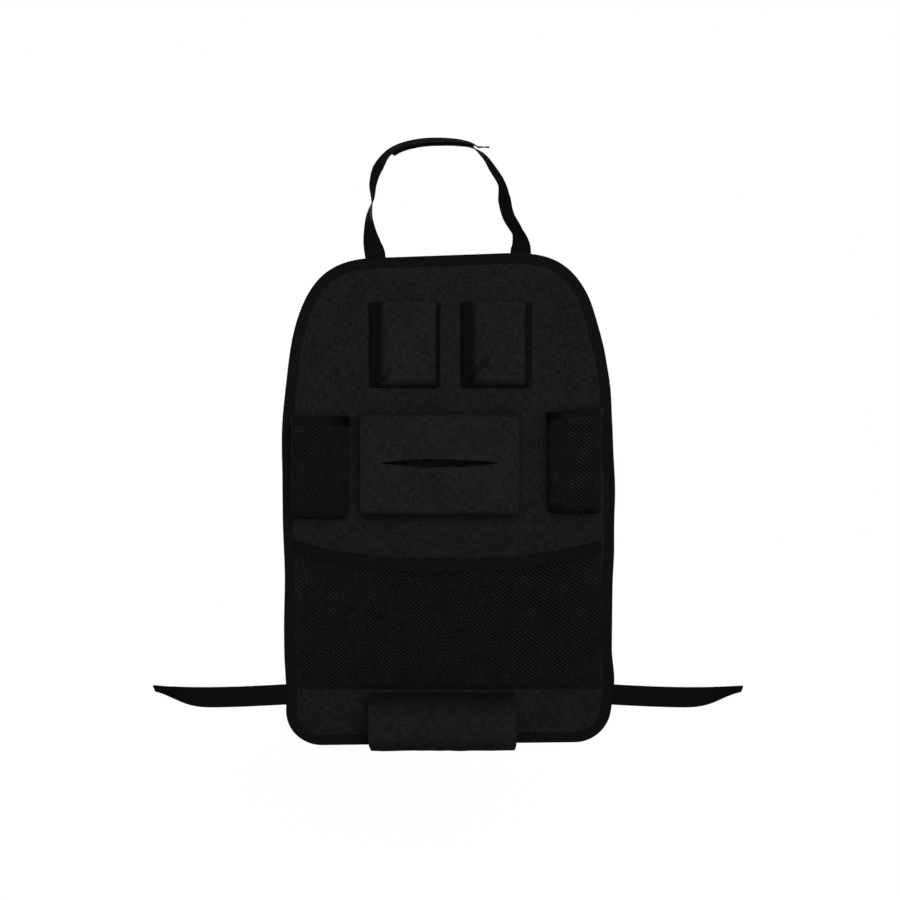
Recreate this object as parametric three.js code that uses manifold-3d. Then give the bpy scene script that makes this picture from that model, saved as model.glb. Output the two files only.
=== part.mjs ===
import * as THREE from 'three';
import { mergeVertices } from 'three/addons/utils/BufferGeometryUtils.js';
import Module from 'manifold-3d';

// Hanging organizer for the back of a car seat, in millimetres, as it hangs in use.
// +Z is up and the pockets face -Y. The origin is the middle of the flat back of the panel,
// which lies against the seat.

// Panel outline
const panelWide = 404;
const panelHigh = 600;
const topEdgeLong = 152;
const topEdgeTilt = 5.5;
const shoulderHigh = 280;
const leftShoulderSidePull = 243;
const leftShoulderTopPull = 87;
const rightShoulderSidePull = 270;
const rightShoulderTopPull = 65;
const footNarrowing = 3;
const footRadius = 45;
const footEdgeTilt = 3.5;

// Panel layers, and the rim that the edge binding presses thin
const faceClothThick = 0.8;
const foamThick = 2.4;
const pressedFoamThick = 0.8;
const liningThick = 0.8;
const layerGap = 0.1;
const rimSlope = 4;
const backPlateInset = 40;

// Edge binding, a tape folded over the rim
const bindingWide = 13;
const bindingThick = 1;

// Webbing straps and the hook-and-loop tapes on them
const webbingWide = 25;
const webbingThick = 1.4;
const strapTail = 28;
const handleWide = 177.4;
const handleHigh = 137;
const fastenerWide = 20;
const fastenerThick = 1;
const sideStrapLong = 161;
const sideStrapRise = 49;
const sideStrapTurn = 70;
const sideFastenerLong = 50;

// Cloth pockets
const pocketClothThick = 1;
const phonePocketWide = 86;
const phonePocketHigh = 103;
const phonePocketDeep = 17;
const phonePocketCrown = 3;
const phonePocketDrop = 61;
const openGusset = 17;
const tuckedGusset = 5;
const leftPhonePocketX = -53;
const rightPhonePocketX = 58.5;

// Tissue band: a cloth loop that holds a tissue box, slit for pulling the tissues
const tissueBandWide = 190;
const tissueBandHigh = 121;
const tissueBandDeep = 46;
const tissueBandCorner = 8;
const tissueBandX = -10;
const tissueBandDrop = 197;
const slitLong = 140;
const slitOpen = 9;
const slitDrop = 59;

// Netting pockets
const netThick = 1.2;
const netOpenShare = 0.74;
const bottleNetWide = 66;
const bottleNetHigh = 124;
const bottleNetDeep = 64;
const bottleNetBottom = 14;
const leftBottleNetDrop = 200;
const rightBottleNetDrop = 193;
const leftBottleNetLean = 7;
const rightBottleNetLean = 0;
const bottleTrimWide = 11;
const largeNetDeep = 30;
const largeNetFoot = 69;
const largeNetHigh = 158;
const largeNetSag = 22;
const largeTrimWide = 15;
const trimClothThick = 0.7;

// Bottle sleeve along the foot of the panel
const sleeveLong = 176;
const sleeveHigh = 67;
const sleeveDeep = 66;
const sleeveX = -6.5;
const sleeveOverhang = 3.5;
const sleeveFootSeam = 17;

// Clearance between a sewn-on piece and the cloth that it is sewn to
const seamGap = 0.1;

const colours = {
  cloth: 0x1b1b1d,
  lining: 0x202022,
  foam: 0x3a3a3c,
  binding: 0x131314,
  webbing: 0x0f0f10,
  fastener: 0x0c0c0d,
  netting: 0x111113,
};

const manifold = await Module();
manifold.setup();

// Levels of the layers, from the flat back forwards, in the field and in the pressed rim
const liningFront = -liningThick;
const foamBack = liningFront - layerGap;
const foamFront = foamBack - foamThick;
const faceBack = foamFront - layerGap;
const faceFront = faceBack - faceClothThick;
const rimLiningBack = -bindingThick - layerGap;
const rimLiningFront = rimLiningBack - liningThick;
const rimFoamBack = rimLiningFront - layerGap;
const rimFoamFront = rimFoamBack - pressedFoamThick;
const rimFaceBack = rimFoamFront - layerGap;
const rimFaceFront = rimFaceBack - faceClothThick;
const bindingSlotFront = rimFaceFront - layerGap;
const bindingFront = bindingSlotFront - bindingThick;

const panelTop = panelHigh / 2;
const panelFoot = -panelHigh / 2;
const outline = tracePanel();

// The panel's edge seen from the front, anticlockwise from the left end of the foot
function tracePanel() {
  const side = panelWide / 2;
  const footSide = side - footNarrowing;
  const shoulder = panelTop - shoulderHigh;
  const topSide = topEdgeLong / 2;
  const leftTop = panelTop - topEdgeTilt;
  const footCorner = footSide - footRadius;
  const leftFootCentre = panelFoot + footRadius;
  const rightFootCentre = leftFootCentre + footEdgeTilt;
  const leftFoot = new THREE.EllipseCurve(
    -footCorner, leftFootCentre, footRadius, footRadius, Math.PI, 1.5 * Math.PI);
  const rightFoot = new THREE.EllipseCurve(
    footCorner, rightFootCentre, footRadius, footRadius, 1.5 * Math.PI, 2 * Math.PI);
  const rightShoulder = new THREE.CubicBezierCurve(
    new THREE.Vector2(side, shoulder),
    new THREE.Vector2(side, shoulder + rightShoulderSidePull),
    new THREE.Vector2(topSide + rightShoulderTopPull, panelTop),
    new THREE.Vector2(topSide, panelTop));
  const leftShoulder = new THREE.CubicBezierCurve(
    new THREE.Vector2(-topSide, leftTop),
    new THREE.Vector2(-topSide - leftShoulderTopPull, leftTop),
    new THREE.Vector2(-side, shoulder + leftShoulderSidePull),
    new THREE.Vector2(-side, shoulder));
  return [
    ...leftFoot.getPoints(6),
    ...rightFoot.getPoints(6),
    ...rightShoulder.getPoints(12),
    ...leftShoulder.getPoints(12),
  ];
}

// The panel's edge moved inwards by one distance, each side staying parallel to itself
function insetOutline(distance) {
  return outline.map((point, i) => {
    const before = outline.at(i - 1);
    const after = outline[(i + 1) % outline.length];
    const arrive = point.clone().sub(before).normalize();
    const leave = after.clone().sub(point).normalize();
    const inwards = new THREE.Vector2(-arrive.y - leave.y, arrive.x + leave.x).normalize();
    const mitre = inwards.x * -arrive.y + inwards.y * arrive.x;
    return point.clone().addScaledVector(inwards, distance / mitre);
  });
}

function ring(inset, level) {
  return insetOutline(inset).map((point) => new THREE.Vector3(point.x, level, point.y));
}

// Half of the panel's width at one height
function halfWidthAt(height) {
  const i = outline.findIndex((point, k) => {
    const next = outline[(k + 1) % outline.length];
    return point.x > 0 && next.x > 0 && point.y <= height && height < next.y;
  });
  const low = outline[i];
  const high = outline[(i + 1) % outline.length];
  return THREE.MathUtils.mapLinear(height, low.y, high.y, low.x, high.x);
}

function addQuad(faces, a, b, c, d) {
  faces.push([a, b, c], [a, c, d]);
}

// A geometry of the listed triangles, turned so that its faces point out
function geometryOf(faces) {
  const volume = faces.reduce((sum, [a, b, c]) => sum + a.dot(b.clone().cross(c)), 0);
  const turned = volume > 0 ? faces : faces.map(([a, b, c]) => [a, c, b]);
  const geometry = new THREE.BufferGeometry().setFromPoints(turned.flat());
  geometry.computeVertexNormals();
  return geometry;
}

// A solid skinned over a stack of rings and closed by a flat cap at each end
function cappedRings(rings) {
  const faces = [];
  rings.slice(1).forEach((next, k) => {
    next.forEach((point, i) => {
      const j = (i + 1) % next.length;
      addQuad(faces, rings[k][i], rings[k][j], next[j], point);
    });
  });
  const cap = (points) => THREE.ShapeUtils.triangulateShape(
    points.map((point) => new THREE.Vector2(point.x, point.z)), []);
  cap(rings[0]).forEach(([a, b, c]) => faces.push([rings[0][a], rings[0][c], rings[0][b]]));
  const last = rings.at(-1);
  cap(last).forEach(([a, b, c]) => faces.push([last[a], last[b], last[c]]));
  return geometryOf(faces);
}

// A solid swept once round through sections of equal count, the last joined to the first
function closedSweep(sections) {
  const faces = [];
  sections.forEach((here, k) => {
    const next = sections[(k + 1) % sections.length];
    here.forEach((point, i) => {
      const j = (i + 1) % here.length;
      addQuad(faces, point, here[j], next[j], next[i]);
    });
  });
  return geometryOf(faces);
}

// The surface's normal at each point of a grid, from its neighbours
function gridNormals(grid) {
  const clampTo = (list, i) => list[THREE.MathUtils.clamp(i, 0, list.length - 1)];
  return grid.map((row, j) => row.map((point, i) => {
    const across = clampTo(row, i + 1).clone().sub(clampTo(row, i - 1));
    const along = clampTo(grid, j + 1)[i].clone().sub(clampTo(grid, j - 1)[i]);
    return across.cross(along).normalize();
  }));
}

// Both faces of a cloth, half its thickness to each side of a grid of points
function clothFaces(grid, thick) {
  const normals = gridNormals(grid);
  const shifted = (distance) => grid.map((row, j) => row.map(
    (point, i) => point.clone().addScaledVector(normals[j][i], distance)));
  return [shifted(thick / 2), shifted(-thick / 2)];
}

// The narrow faces round the edge of a cloth
function addSelvedge(faces, front, back) {
  const rows = front.length - 1;
  const columns = front[0].length - 1;
  for (let i = 0; i < columns; i += 1) {
    addQuad(faces, front[0][i + 1], front[0][i], back[0][i], back[0][i + 1]);
    addQuad(faces, front[rows][i], front[rows][i + 1], back[rows][i + 1], back[rows][i]);
  }
  for (let j = 0; j < rows; j += 1) {
    addQuad(faces, front[j][0], front[j + 1][0], back[j + 1][0], back[j][0]);
    addQuad(faces, front[j + 1][columns], front[j][columns], back[j][columns],
      back[j + 1][columns]);
  }
}

// A closed cloth over a grid of points
function cloth(grid, thick) {
  const [front, back] = clothFaces(grid, thick);
  const faces = [];
  for (let j = 0; j < grid.length - 1; j += 1) {
    for (let i = 0; i < grid[0].length - 1; i += 1) {
      addQuad(faces, front[j][i], front[j][i + 1], front[j + 1][i + 1], front[j + 1][i]);
      addQuad(faces, back[j][i], back[j + 1][i], back[j + 1][i + 1], back[j][i + 1]);
    }
  }
  addSelvedge(faces, front, back);
  return geometryOf(faces);
}

// Netting over a grid of points, with one diamond gap in each cell
function netting(grid, thick) {
  const [front, back] = clothFaces(grid, thick);
  const faces = [];
  const cellOf = (side, i, j) => [side[j][i], side[j][i + 1], side[j + 1][i + 1], side[j + 1][i]];
  const gapOf = (corners) => {
    const middle = new THREE.Vector3();
    corners.forEach((corner) => middle.addScaledVector(corner, 1 / corners.length));
    return corners.map((corner, k) => corner.clone()
      .add(corners[(k + 1) % corners.length]).multiplyScalar(0.5).lerp(middle, 1 - netOpenShare));
  };
  for (let j = 0; j < grid.length - 1; j += 1) {
    for (let i = 0; i < grid[0].length - 1; i += 1) {
      const outer = cellOf(front, i, j);
      const inner = cellOf(back, i, j);
      const outerGap = gapOf(outer);
      const innerGap = gapOf(inner);
      for (let k = 0; k < outer.length; k += 1) {
        const n = (k + 1) % outer.length;
        faces.push([outer[k], outer[n], outerGap[k]], [outer[n], outerGap[n], outerGap[k]]);
        faces.push([inner[n], inner[k], innerGap[k]], [inner[n], innerGap[k], innerGap[n]]);
        addQuad(faces, outerGap[k], outerGap[n], innerGap[n], innerGap[k]);
      }
    }
  }
  addSelvedge(faces, front, back);
  return geometryOf(faces);
}

// A tape folded over the top edge of a netting grid, its two flaps clear of the net
function foldedTrim(grid, wide) {
  const normals = gridNormals(grid).at(-1);
  const top = grid.at(-1);
  const below = grid.at(-2);
  const slot = netThick / 2 + seamGap;
  const outside = slot + trimClothThick;
  const sections = top.map((point, i) => {
    const down = below[i].clone().sub(point).normalize();
    const at = (depth, height) => point.clone()
      .addScaledVector(down, depth).addScaledVector(normals[i], height);
    const fold = -seamGap;
    return [
      at(fold - trimClothThick, -outside), at(wide, -outside), at(wide, -slot), at(fold, -slot),
      at(fold, slot), at(wide, slot), at(wide, outside), at(fold - trimClothThick, outside),
    ];
  });
  return trimSweep(sections);
}

// A folded tape's sections joined into a solid, its ends closed flap by flap
function trimSweep(sections) {
  const faces = [];
  sections.slice(1).forEach((next, k) => {
    const here = sections[k];
    here.forEach((point, i) => {
      const j = (i + 1) % here.length;
      addQuad(faces, point, here[j], next[j], next[i]);
    });
  });
  const closeEnd = (section, turned) => {
    const [a, b, c, d, e, f, g, h] = turned ? section : [...section].reverse();
    addQuad(faces, a, b, c, d);
    addQuad(faces, a, d, e, h);
    addQuad(faces, e, f, g, h);
  };
  closeEnd(sections[0], false);
  closeEnd(sections.at(-1), true);
  return geometryOf(faces);
}

function piece(name, colour, geometry) {
  const material = new THREE.MeshStandardMaterial({ color: colour, roughness: 0.9, metalness: 0 });
  const mesh = new THREE.Mesh(geometry, material);
  mesh.name = name;
  return mesh;
}

// Face cloth, foam and lining, sewn together round the rim
function panelLayers() {
  const edge = bindingThick + 2 * layerGap;
  const rim = bindingWide + layerGap;
  const field = rim + rimSlope;
  const layer = (front, back, rimFront, rimBack) => [
    ring(field, front),
    ring(rim, rimFront),
    ring(edge, rimFront),
    ring(edge, rimBack),
    ring(rim, rimBack),
    ring(field, back),
  ];
  const face = layer(faceFront, faceBack, rimFaceFront, rimFaceBack);
  const foam = layer(foamFront, foamBack, rimFoamFront, rimFoamBack);
  const lining = [
    ...layer(liningFront, 0, rimLiningFront, rimLiningBack),
    ring(backPlateInset, 0),
  ];
  return [
    piece('face_panel', colours.cloth, cappedRings(face)),
    piece('foam_sheet', colours.foam, cappedRings(foam)),
    piece('back_lining', colours.lining, cappedRings(lining)),
  ];
}

// One length of tape folded over the whole edge, with a front flap and a back flap
function edgeBinding() {
  const rings = [
    ring(0, 0),
    ring(bindingWide, 0),
    ring(bindingWide, -bindingThick),
    ring(bindingThick, -bindingThick),
    ring(bindingThick, bindingSlotFront),
    ring(bindingWide, bindingSlotFront),
    ring(bindingWide, bindingFront),
    ring(0, bindingFront),
  ];
  const sections = outline.map((point, i) => rings.map((level) => level[i]));
  return piece('edge_binding', colours.binding, closedSweep(sections));
}

// The way of the carrying handle, from its left tail over the arch to its right tail.
// Each row holds a share of half the handle's width, a share of its height and the
// webbing's turn in degrees, 0 where it faces the front and 90 where its edge does.
const handleRows = [
  [-1.04, 0.08, 30],
  [-1.07, 0.19, 54],
  [-1.08, 0.335, 77],
  [-1.035, 0.48, 98],
  [-1.03, 0.625, 113],
  [-0.96, 0.77, 124],
  [-0.835, 0.875, 106],
  [-0.66, 0.945, 84],
  [-0.385, 0.99, 85],
  [-0.11, 1, 88],
  [0.165, 0.99, 91],
  [0.35, 0.96, 94],
  [0.475, 0.89, 93],
  [0.6, 0.77, 78],
  [0.735, 0.625, 74],
  [0.775, 0.48, 61],
  [0.83, 0.335, 58],
  [0.955, 0.19, 62],
  [1, 0.08, 32],
];
const strapLevel = seamGap + webbingThick / 2;
const leftRootTop = panelTop - topEdgeTilt;
const handleStations = [
  { at: [-handleWide / 2, leftRootTop - strapTail], turn: 0 },
  { at: [-handleWide / 2, leftRootTop + webbingThick], turn: 0 },
  ...handleRows.map(([across, rise, turn]) => ({
    at: [across * handleWide / 2, panelTop + rise * handleHigh],
    turn,
  })),
  { at: [handleWide / 2, panelTop + webbingThick], turn: 0 },
  { at: [handleWide / 2, panelTop - strapTail], turn: 0 },
];
const handleLine = new THREE.CatmullRomCurve3(
  handleStations.map(({ at }) => new THREE.Vector3(at[0], strapLevel, at[1])));

// Where the webbing's middle is and how it is turned, at one step along the handle
const stepsPerStation = 3;
function handleFrame(step) {
  const last = handleStations.length - 1;
  const station = step / stepsPerStation;
  const before = Math.min(Math.floor(station), last - 1);
  const turn = THREE.MathUtils.degToRad(THREE.MathUtils.lerp(
    handleStations[before].turn, handleStations[before + 1].turn, station - before));
  const centre = handleLine.getPoint(station / last);
  const forward = handleLine.getTangent(station / last);
  return bandFrame(centre, forward, turn);
}

// A band's frame where it runs forward in the plane of the handle, turned by an angle from
// facing the front
function bandFrame(centre, forward, turn) {
  const across = new THREE.Vector3(forward.z, 0, -forward.x).multiplyScalar(Math.cos(turn));
  across.y = Math.sin(turn);
  return { centre, across, normal: forward.clone().cross(across) };
}

// The handle's frames from one step to another, moved off its line by what liftAt gives
function handleFrames(start, end, liftAt) {
  return Array.from({ length: end - start + 1 }, (_, i) => {
    const frame = handleFrame(start + i);
    frame.centre.addScaledVector(frame.normal, liftAt(start + i));
    return frame;
  });
}

// A flat band's solid along its frames. Both broad faces are split along the same diagonals,
// so that bands on the same frames lie evenly on each other.
function band(frames, wide, thick) {
  const faces = [];
  const sections = frames.map(({ centre, across, normal }) => {
    const corner = (a, n) => centre.clone()
      .addScaledVector(across, a * wide / 2).addScaledVector(normal, n * thick / 2);
    return [corner(-1, -1), corner(1, -1), corner(1, 1), corner(-1, 1)];
  });
  sections.slice(1).forEach((next, k) => {
    const here = sections[k];
    addQuad(faces, here[0], here[1], next[1], next[0]);
    addQuad(faces, here[1], here[2], next[2], next[1]);
    addQuad(faces, here[3], next[3], next[2], here[2]);
    addQuad(faces, here[3], here[0], next[0], next[3]);
  });
  const first = sections[0];
  const last = sections.at(-1);
  addQuad(faces, first[3], first[2], first[1], first[0]);
  addQuad(faces, last[0], last[1], last[2], last[3]);
  return geometryOf(faces);
}

// Two webbing straps sewn to the back, joined at the top of the arch by hook-and-loop tapes.
// The left one lies over the right one between these steps, and its tip stands off straight.
const overlapStart = 25;
const overlapEnd = 40;
const overlapRamp = 4;
const tapeStart = 27;
const tapeEnd = 39;
const strapTipLong = 14;
const strapTipTurn = 98;
function handlePieces() {
  const lastStep = (handleStations.length - 1) * stepsPerStation;
  const strapLift = webbingThick / 2 + fastenerThick + 1.5 * seamGap;
  const tapeLift = (fastenerThick + seamGap) / 2;
  const smooth = THREE.MathUtils.smoothstep;
  const leftFrames = handleFrames(0, overlapEnd, (step) => (
    strapLift * smooth(step, overlapStart - overlapRamp, overlapStart)));
  const tipWay = new THREE.Vector3(1, 0, 0);
  const tipEnd = leftFrames.at(-1).centre.clone().addScaledVector(tipWay, strapTipLong);
  leftFrames.push(bandFrame(tipEnd, tipWay, THREE.MathUtils.degToRad(strapTipTurn)));
  const rightFrames = handleFrames(overlapStart, lastStep, (step) => (
    -strapLift * (1 - smooth(step, overlapEnd, overlapEnd + overlapRamp))));
  const loopFrames = handleFrames(tapeStart, tapeEnd, () => tapeLift);
  const hookFrames = handleFrames(tapeStart, tapeEnd, () => -tapeLift);
  return [
    piece('left_handle_strap', colours.webbing, band(leftFrames, webbingWide, webbingThick)),
    piece('right_handle_strap', colours.webbing, band(rightFrames, webbingWide, webbingThick)),
    piece('handle_loop_tape', colours.fastener, band(loopFrames, fastenerWide, fastenerThick)),
    piece('handle_hook_tape', colours.fastener, band(hookFrames, fastenerWide, fastenerThick)),
  ];
}

// A side strap's frame at a share of its free length, on the side that sign gives.
// It hangs a little, and its outer half turns about its upper edge.
const sideStrapSag = 3.5;
const sideTurnStart = 0.53;
const sideTurnEnd = 1.05;
function sideStrapFrame(share, sign) {
  const upperEdge = panelFoot + sideStrapRise + webbingWide;
  const root = halfWidthAt(upperEdge - webbingWide / 2);
  const sag = sideStrapSag * Math.sin(0.8 * Math.PI * Math.max(share, 0));
  const turn = THREE.MathUtils.degToRad(
    sideStrapTurn * THREE.MathUtils.smoothstep(share, sideTurnStart, sideTurnEnd));
  const across = new THREE.Vector3(0, Math.sin(turn), -Math.cos(turn));
  const centre = new THREE.Vector3(
    sign * (root + share * sideStrapLong), strapLevel, upperEdge - sag)
    .addScaledVector(across, webbingWide / 2);
  return { centre, across, normal: new THREE.Vector3(sign, 0, 0).cross(across) };
}

// Two short webbing straps that tie the foot of the panel back, with hook-and-loop ends.
// A tape lies on the same frames as its strap, from the step where it starts to the last.
function sideStraps() {
  const steps = 48;
  const tapeLift = (webbingThick + fastenerThick) / 2 + 2 * seamGap;
  const frames = (sign, start, lift) => Array.from({ length: steps - start + 1 }, (_, i) => {
    const frame = sideStrapFrame((start + i) / steps, sign);
    frame.centre.addScaledVector(frame.normal, lift);
    return frame;
  });
  const strap = (sign) => band(
    [sideStrapFrame(-strapTail / sideStrapLong, sign), ...frames(sign, 0, 0)],
    webbingWide, webbingThick);
  const tape = (sign) => band(
    frames(sign, Math.round(steps * (1 - sideFastenerLong / sideStrapLong)), -tapeLift),
    fastenerWide, fastenerThick);
  return [
    piece('left_side_strap', colours.webbing, strap(-1)),
    piece('right_side_strap', colours.webbing, strap(1)),
    piece('side_hook_tape', colours.fastener, tape(-1)),
    piece('side_loop_tape', colours.fastener, tape(1)),
  ];
}

// Where the middle of a cloth pocket's wall, and of a net's, meets the face cloth
const clothSeat = faceFront - seamGap - pocketClothThick / 2;
const netReach = netThick / 2 + seamGap + trimClothThick;
const netSeat = faceFront - seamGap - netReach;

// How far a pocket stands out at a share of its height, rounding in to its bottom seam
function roundedIn(share, bottomShare) {
  const rest = 1 - Math.min(share / bottomShare, 1);
  return Math.sqrt(1 - rest * rest);
}

// A sine or cosine that makes a half-round section fuller, between a circle and a square
const sectionPower = 0.8;
function fuller(value) {
  return Math.sign(value) * Math.abs(value) ** sectionPower;
}

// Phone pocket: a crowned front between a pleated side that stands open and one tucked under.
// Its left bottom corner is the piece's own origin.
function phonePocket(name, centre) {
  const crownSteps = 5;
  const frontWide = phonePocketWide - openGusset - tuckedGusset;
  const section = [[0, 0], [0.55 * openGusset, 0.4 * phonePocketDeep]];
  for (let k = 0; k <= crownSteps; k += 1) {
    const share = k / crownSteps;
    section.push([
      openGusset + share * frontWide,
      phonePocketDeep + phonePocketCrown * Math.sin(Math.PI * share),
    ]);
  }
  section.push([phonePocketWide - 0.3 * tuckedGusset, 0.45 * phonePocketDeep]);
  section.push([phonePocketWide, 0]);
  const heights = [0, 0.02, 0.06, 0.14, 0.4, 0.7, 1];
  const grid = heights.map((height) => section.map(([x, forward]) => new THREE.Vector3(
    x, -forward * roundedIn(height, 0.14), height * phonePocketHigh)));
  const mesh = piece(name, colours.cloth, cloth(grid, pocketClothThick));
  mesh.position.set(
    centre - phonePocketWide / 2, clothSeat, panelTop - phonePocketDrop - phonePocketHigh);
  return mesh;
}

function manifoldOf(geometry) {
  const plain = geometry.clone();
  plain.deleteAttribute('normal');
  plain.deleteAttribute('uv');
  const merged = mergeVertices(plain);
  return new manifold.Manifold(new manifold.Mesh({
    numProp: 3,
    vertProperties: merged.attributes.position.array,
    triVerts: Uint32Array.from(merged.index.array),
  }));
}

function geometryFrom(solid) {
  const mesh = solid.getMesh();
  const geometry = new THREE.BufferGeometry();
  geometry.setAttribute('position', new THREE.BufferAttribute(mesh.vertProperties, mesh.numProp));
  geometry.setIndex(new THREE.BufferAttribute(mesh.triVerts, 1));
  geometry.computeVertexNormals();
  return geometry;
}

// Tissue band: sewn to the panel above and below, open at both sides.
// Its own origin is the middle of its top seam.
function tissueBand() {
  const corner = tissueBandCorner;
  const front = tissueBandDeep - corner;
  const section = [[0, 0], [front / 2, 0]];
  for (let k = 0; k <= 4; k += 1) {
    const angle = k * Math.PI / 8;
    section.push([front + corner * Math.sin(angle), -corner * (1 - Math.cos(angle))]);
  }
  const lower = section.map(([forward, rise]) => [forward, -tissueBandHigh - rise]).reverse();
  const rows = [...section, [tissueBandDeep + 1, -tissueBandHigh / 2], ...lower];
  const columns = [-0.5, -0.25, 0, 0.25, 0.5];
  const grid = rows.map(([forward, rise]) => columns.map(
    (share) => new THREE.Vector3(share * tissueBandWide, -forward, rise)));
  const slit = new THREE.Shape();
  slit.moveTo(-slitLong / 2, 0);
  slit.quadraticCurveTo(0, -slitOpen, slitLong / 2, 0);
  slit.quadraticCurveTo(0, slitOpen, -slitLong / 2, 0);
  const cutter = new THREE.ExtrudeGeometry(slit, {
    depth: tissueBandCorner, bevelEnabled: false, curveSegments: 12 });
  cutter.rotateX(Math.PI / 2);
  cutter.translate(0, -tissueBandDeep + corner / 2, -slitDrop);
  const opened = manifoldOf(cloth(grid, pocketClothThick)).subtract(manifoldOf(cutter));
  const mesh = piece('tissue_band', colours.cloth, geometryFrom(opened));
  mesh.position.set(tissueBandX, clothSeat, panelTop - tissueBandDrop);
  return mesh;
}

// Netting pocket for a bottle or a can, with an elastic tape folded over its mouth.
// Its own origin is the middle of its bottom seam.
function bottleNet(side, sign, drop, lean) {
  const columns = 12;
  const heights = [0, 0.04, 0.12, 0.41, 0.7, 1];
  const bottomShare = bottleNetBottom / bottleNetHigh;
  const grid = heights.map((height) => Array.from({ length: columns + 1 }, (_, i) => {
    const angle = Math.PI * (1 - i / columns);
    const close = roundedIn(height, bottomShare);
    const forward = fuller(Math.sin(angle)) * close;
    return new THREE.Vector3(
      bottleNetWide / 2 * fuller(Math.cos(angle)) * THREE.MathUtils.lerp(0.8, 1, close)
        + sign * lean * forward,
      -bottleNetDeep * forward,
      bottleNetHigh * height);
  }));
  const net = piece(`${side}_bottle_net`, colours.netting, netting(grid, netThick));
  const trim = piece(`${side}_net_elastic`, colours.binding, foldedTrim(grid, bottleTrimWide));
  const bottom = panelTop - drop - bottleNetHigh;
  const pocket = new THREE.Group();
  pocket.add(net, trim);
  pocket.position.set(
    sign * (halfWidthAt(bottom) - bindingWide - bottleNetWide / 2 - netReach),
    netSeat,
    bottom);
  return pocket;
}

// Netting pocket over the whole width, with a tape folded over its sagging mouth
function largeNet() {
  const columns = 20;
  const heights = [0, 0.07, 0.2, 0.46, 0.73, 1];
  const bottom = panelFoot + largeNetFoot;
  const grid = heights.map((height) => Array.from({ length: columns + 1 }, (_, i) => {
    const side = 2 * i / columns - 1;
    const mouth = largeNetHigh + largeNetSag * Math.abs(side) ** 2.5;
    const z = bottom + height * mouth;
    const forward = largeNetDeep * (1 - Math.abs(side) ** 3) * roundedIn(height, 0.3)
      * (1 - 0.2 * height);
    return new THREE.Vector3(
      side * (halfWidthAt(z) - bindingWide - netReach), netSeat - forward, z);
  }));
  return [
    piece('large_net', colours.netting, netting(grid, netThick)),
    piece('large_net_tape', colours.binding, foldedTrim(grid, largeTrimWide)),
  ];
}

// Bottle sleeve: a cloth loop along the foot, open at both ends and hanging past the binding.
// Its own origin is the middle of its top seam.
function bottleSleeve() {
  const lowSeam = sleeveHigh - sleeveOverhang - sleeveFootSeam;
  const steps = 18;
  const section = Array.from({ length: steps + 1 }, (_, k) => {
    const angle = Math.PI * (k / steps - 0.5);
    const forward = sleeveDeep * fuller(Math.cos(angle));
    const fall = sleeveHigh * (1 + fuller(Math.sin(angle))) / 2;
    const hang = THREE.MathUtils.smoothstep(forward, 0, sleeveDeep / 2);
    return [forward, fall - (sleeveHigh - lowSeam) * (fall / sleeveHigh) * (1 - hang)];
  });
  const columns = [-0.5, -0.25, 0, 0.25, 0.5];
  const grid = section.map(([forward, fall]) => columns.map(
    (share) => new THREE.Vector3(share * sleeveLong, -forward, -fall)));
  const mesh = piece('bottle_sleeve', colours.cloth, cloth(grid, pocketClothThick));
  mesh.position.set(sleeveX, clothSeat, panelFoot - sleeveOverhang + sleeveHigh);
  return mesh;
}

const organizer = new THREE.Group();
organizer.add(
  ...panelLayers(),
  edgeBinding(),
  ...handlePieces(),
  ...sideStraps(),
  phonePocket('left_phone_pocket', leftPhonePocketX),
  phonePocket('right_phone_pocket', rightPhonePocketX),
  tissueBand(),
  bottleNet('left', -1, leftBottleNetDrop, leftBottleNetLean),
  bottleNet('right', 1, rightBottleNetDrop, rightBottleNetLean),
  ...largeNet(),
  bottleSleeve(),
);

export default organizer;
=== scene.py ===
"""Organizer for the back of a car seat, hanging as in use, with its pockets empty and open."""

import math

import bpy
import numpy as np
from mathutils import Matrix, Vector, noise


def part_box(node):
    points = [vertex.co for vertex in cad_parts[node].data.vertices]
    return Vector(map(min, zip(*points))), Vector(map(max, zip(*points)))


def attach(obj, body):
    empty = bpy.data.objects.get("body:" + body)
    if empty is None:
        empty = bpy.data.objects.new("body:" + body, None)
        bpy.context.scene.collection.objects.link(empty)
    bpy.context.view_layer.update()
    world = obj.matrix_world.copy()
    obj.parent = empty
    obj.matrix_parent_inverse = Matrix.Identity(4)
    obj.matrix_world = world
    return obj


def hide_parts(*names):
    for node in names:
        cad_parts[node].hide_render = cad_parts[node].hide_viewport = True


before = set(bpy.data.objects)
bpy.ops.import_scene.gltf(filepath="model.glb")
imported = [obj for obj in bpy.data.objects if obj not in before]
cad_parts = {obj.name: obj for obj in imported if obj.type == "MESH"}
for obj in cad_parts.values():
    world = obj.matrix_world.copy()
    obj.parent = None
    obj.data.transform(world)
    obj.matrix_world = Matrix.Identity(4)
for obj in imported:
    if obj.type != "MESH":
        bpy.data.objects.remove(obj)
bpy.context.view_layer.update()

scene = bpy.context.scene
mm = 0.001

# Camera. It stands level and straight in front of the pockets, and its square picture takes in
# a little over a metre at the back of the panel.
view_wide = 1.098
view_middle = (0.0024, 0.0598)
camera_far = 2.6
sensor_wide = 36
camera = bpy.data.objects.new("camera", bpy.data.cameras.new("camera"))
camera.data.sensor_width = sensor_wide
camera.data.lens = sensor_wide * camera_far / view_wide
camera.location = (view_middle[0], -camera_far, view_middle[1])
camera.rotation_euler = (math.pi / 2, 0, 0)
scene.collection.objects.link(camera)
scene.camera = camera
scene.view_settings.view_transform = "Standard"


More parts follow.
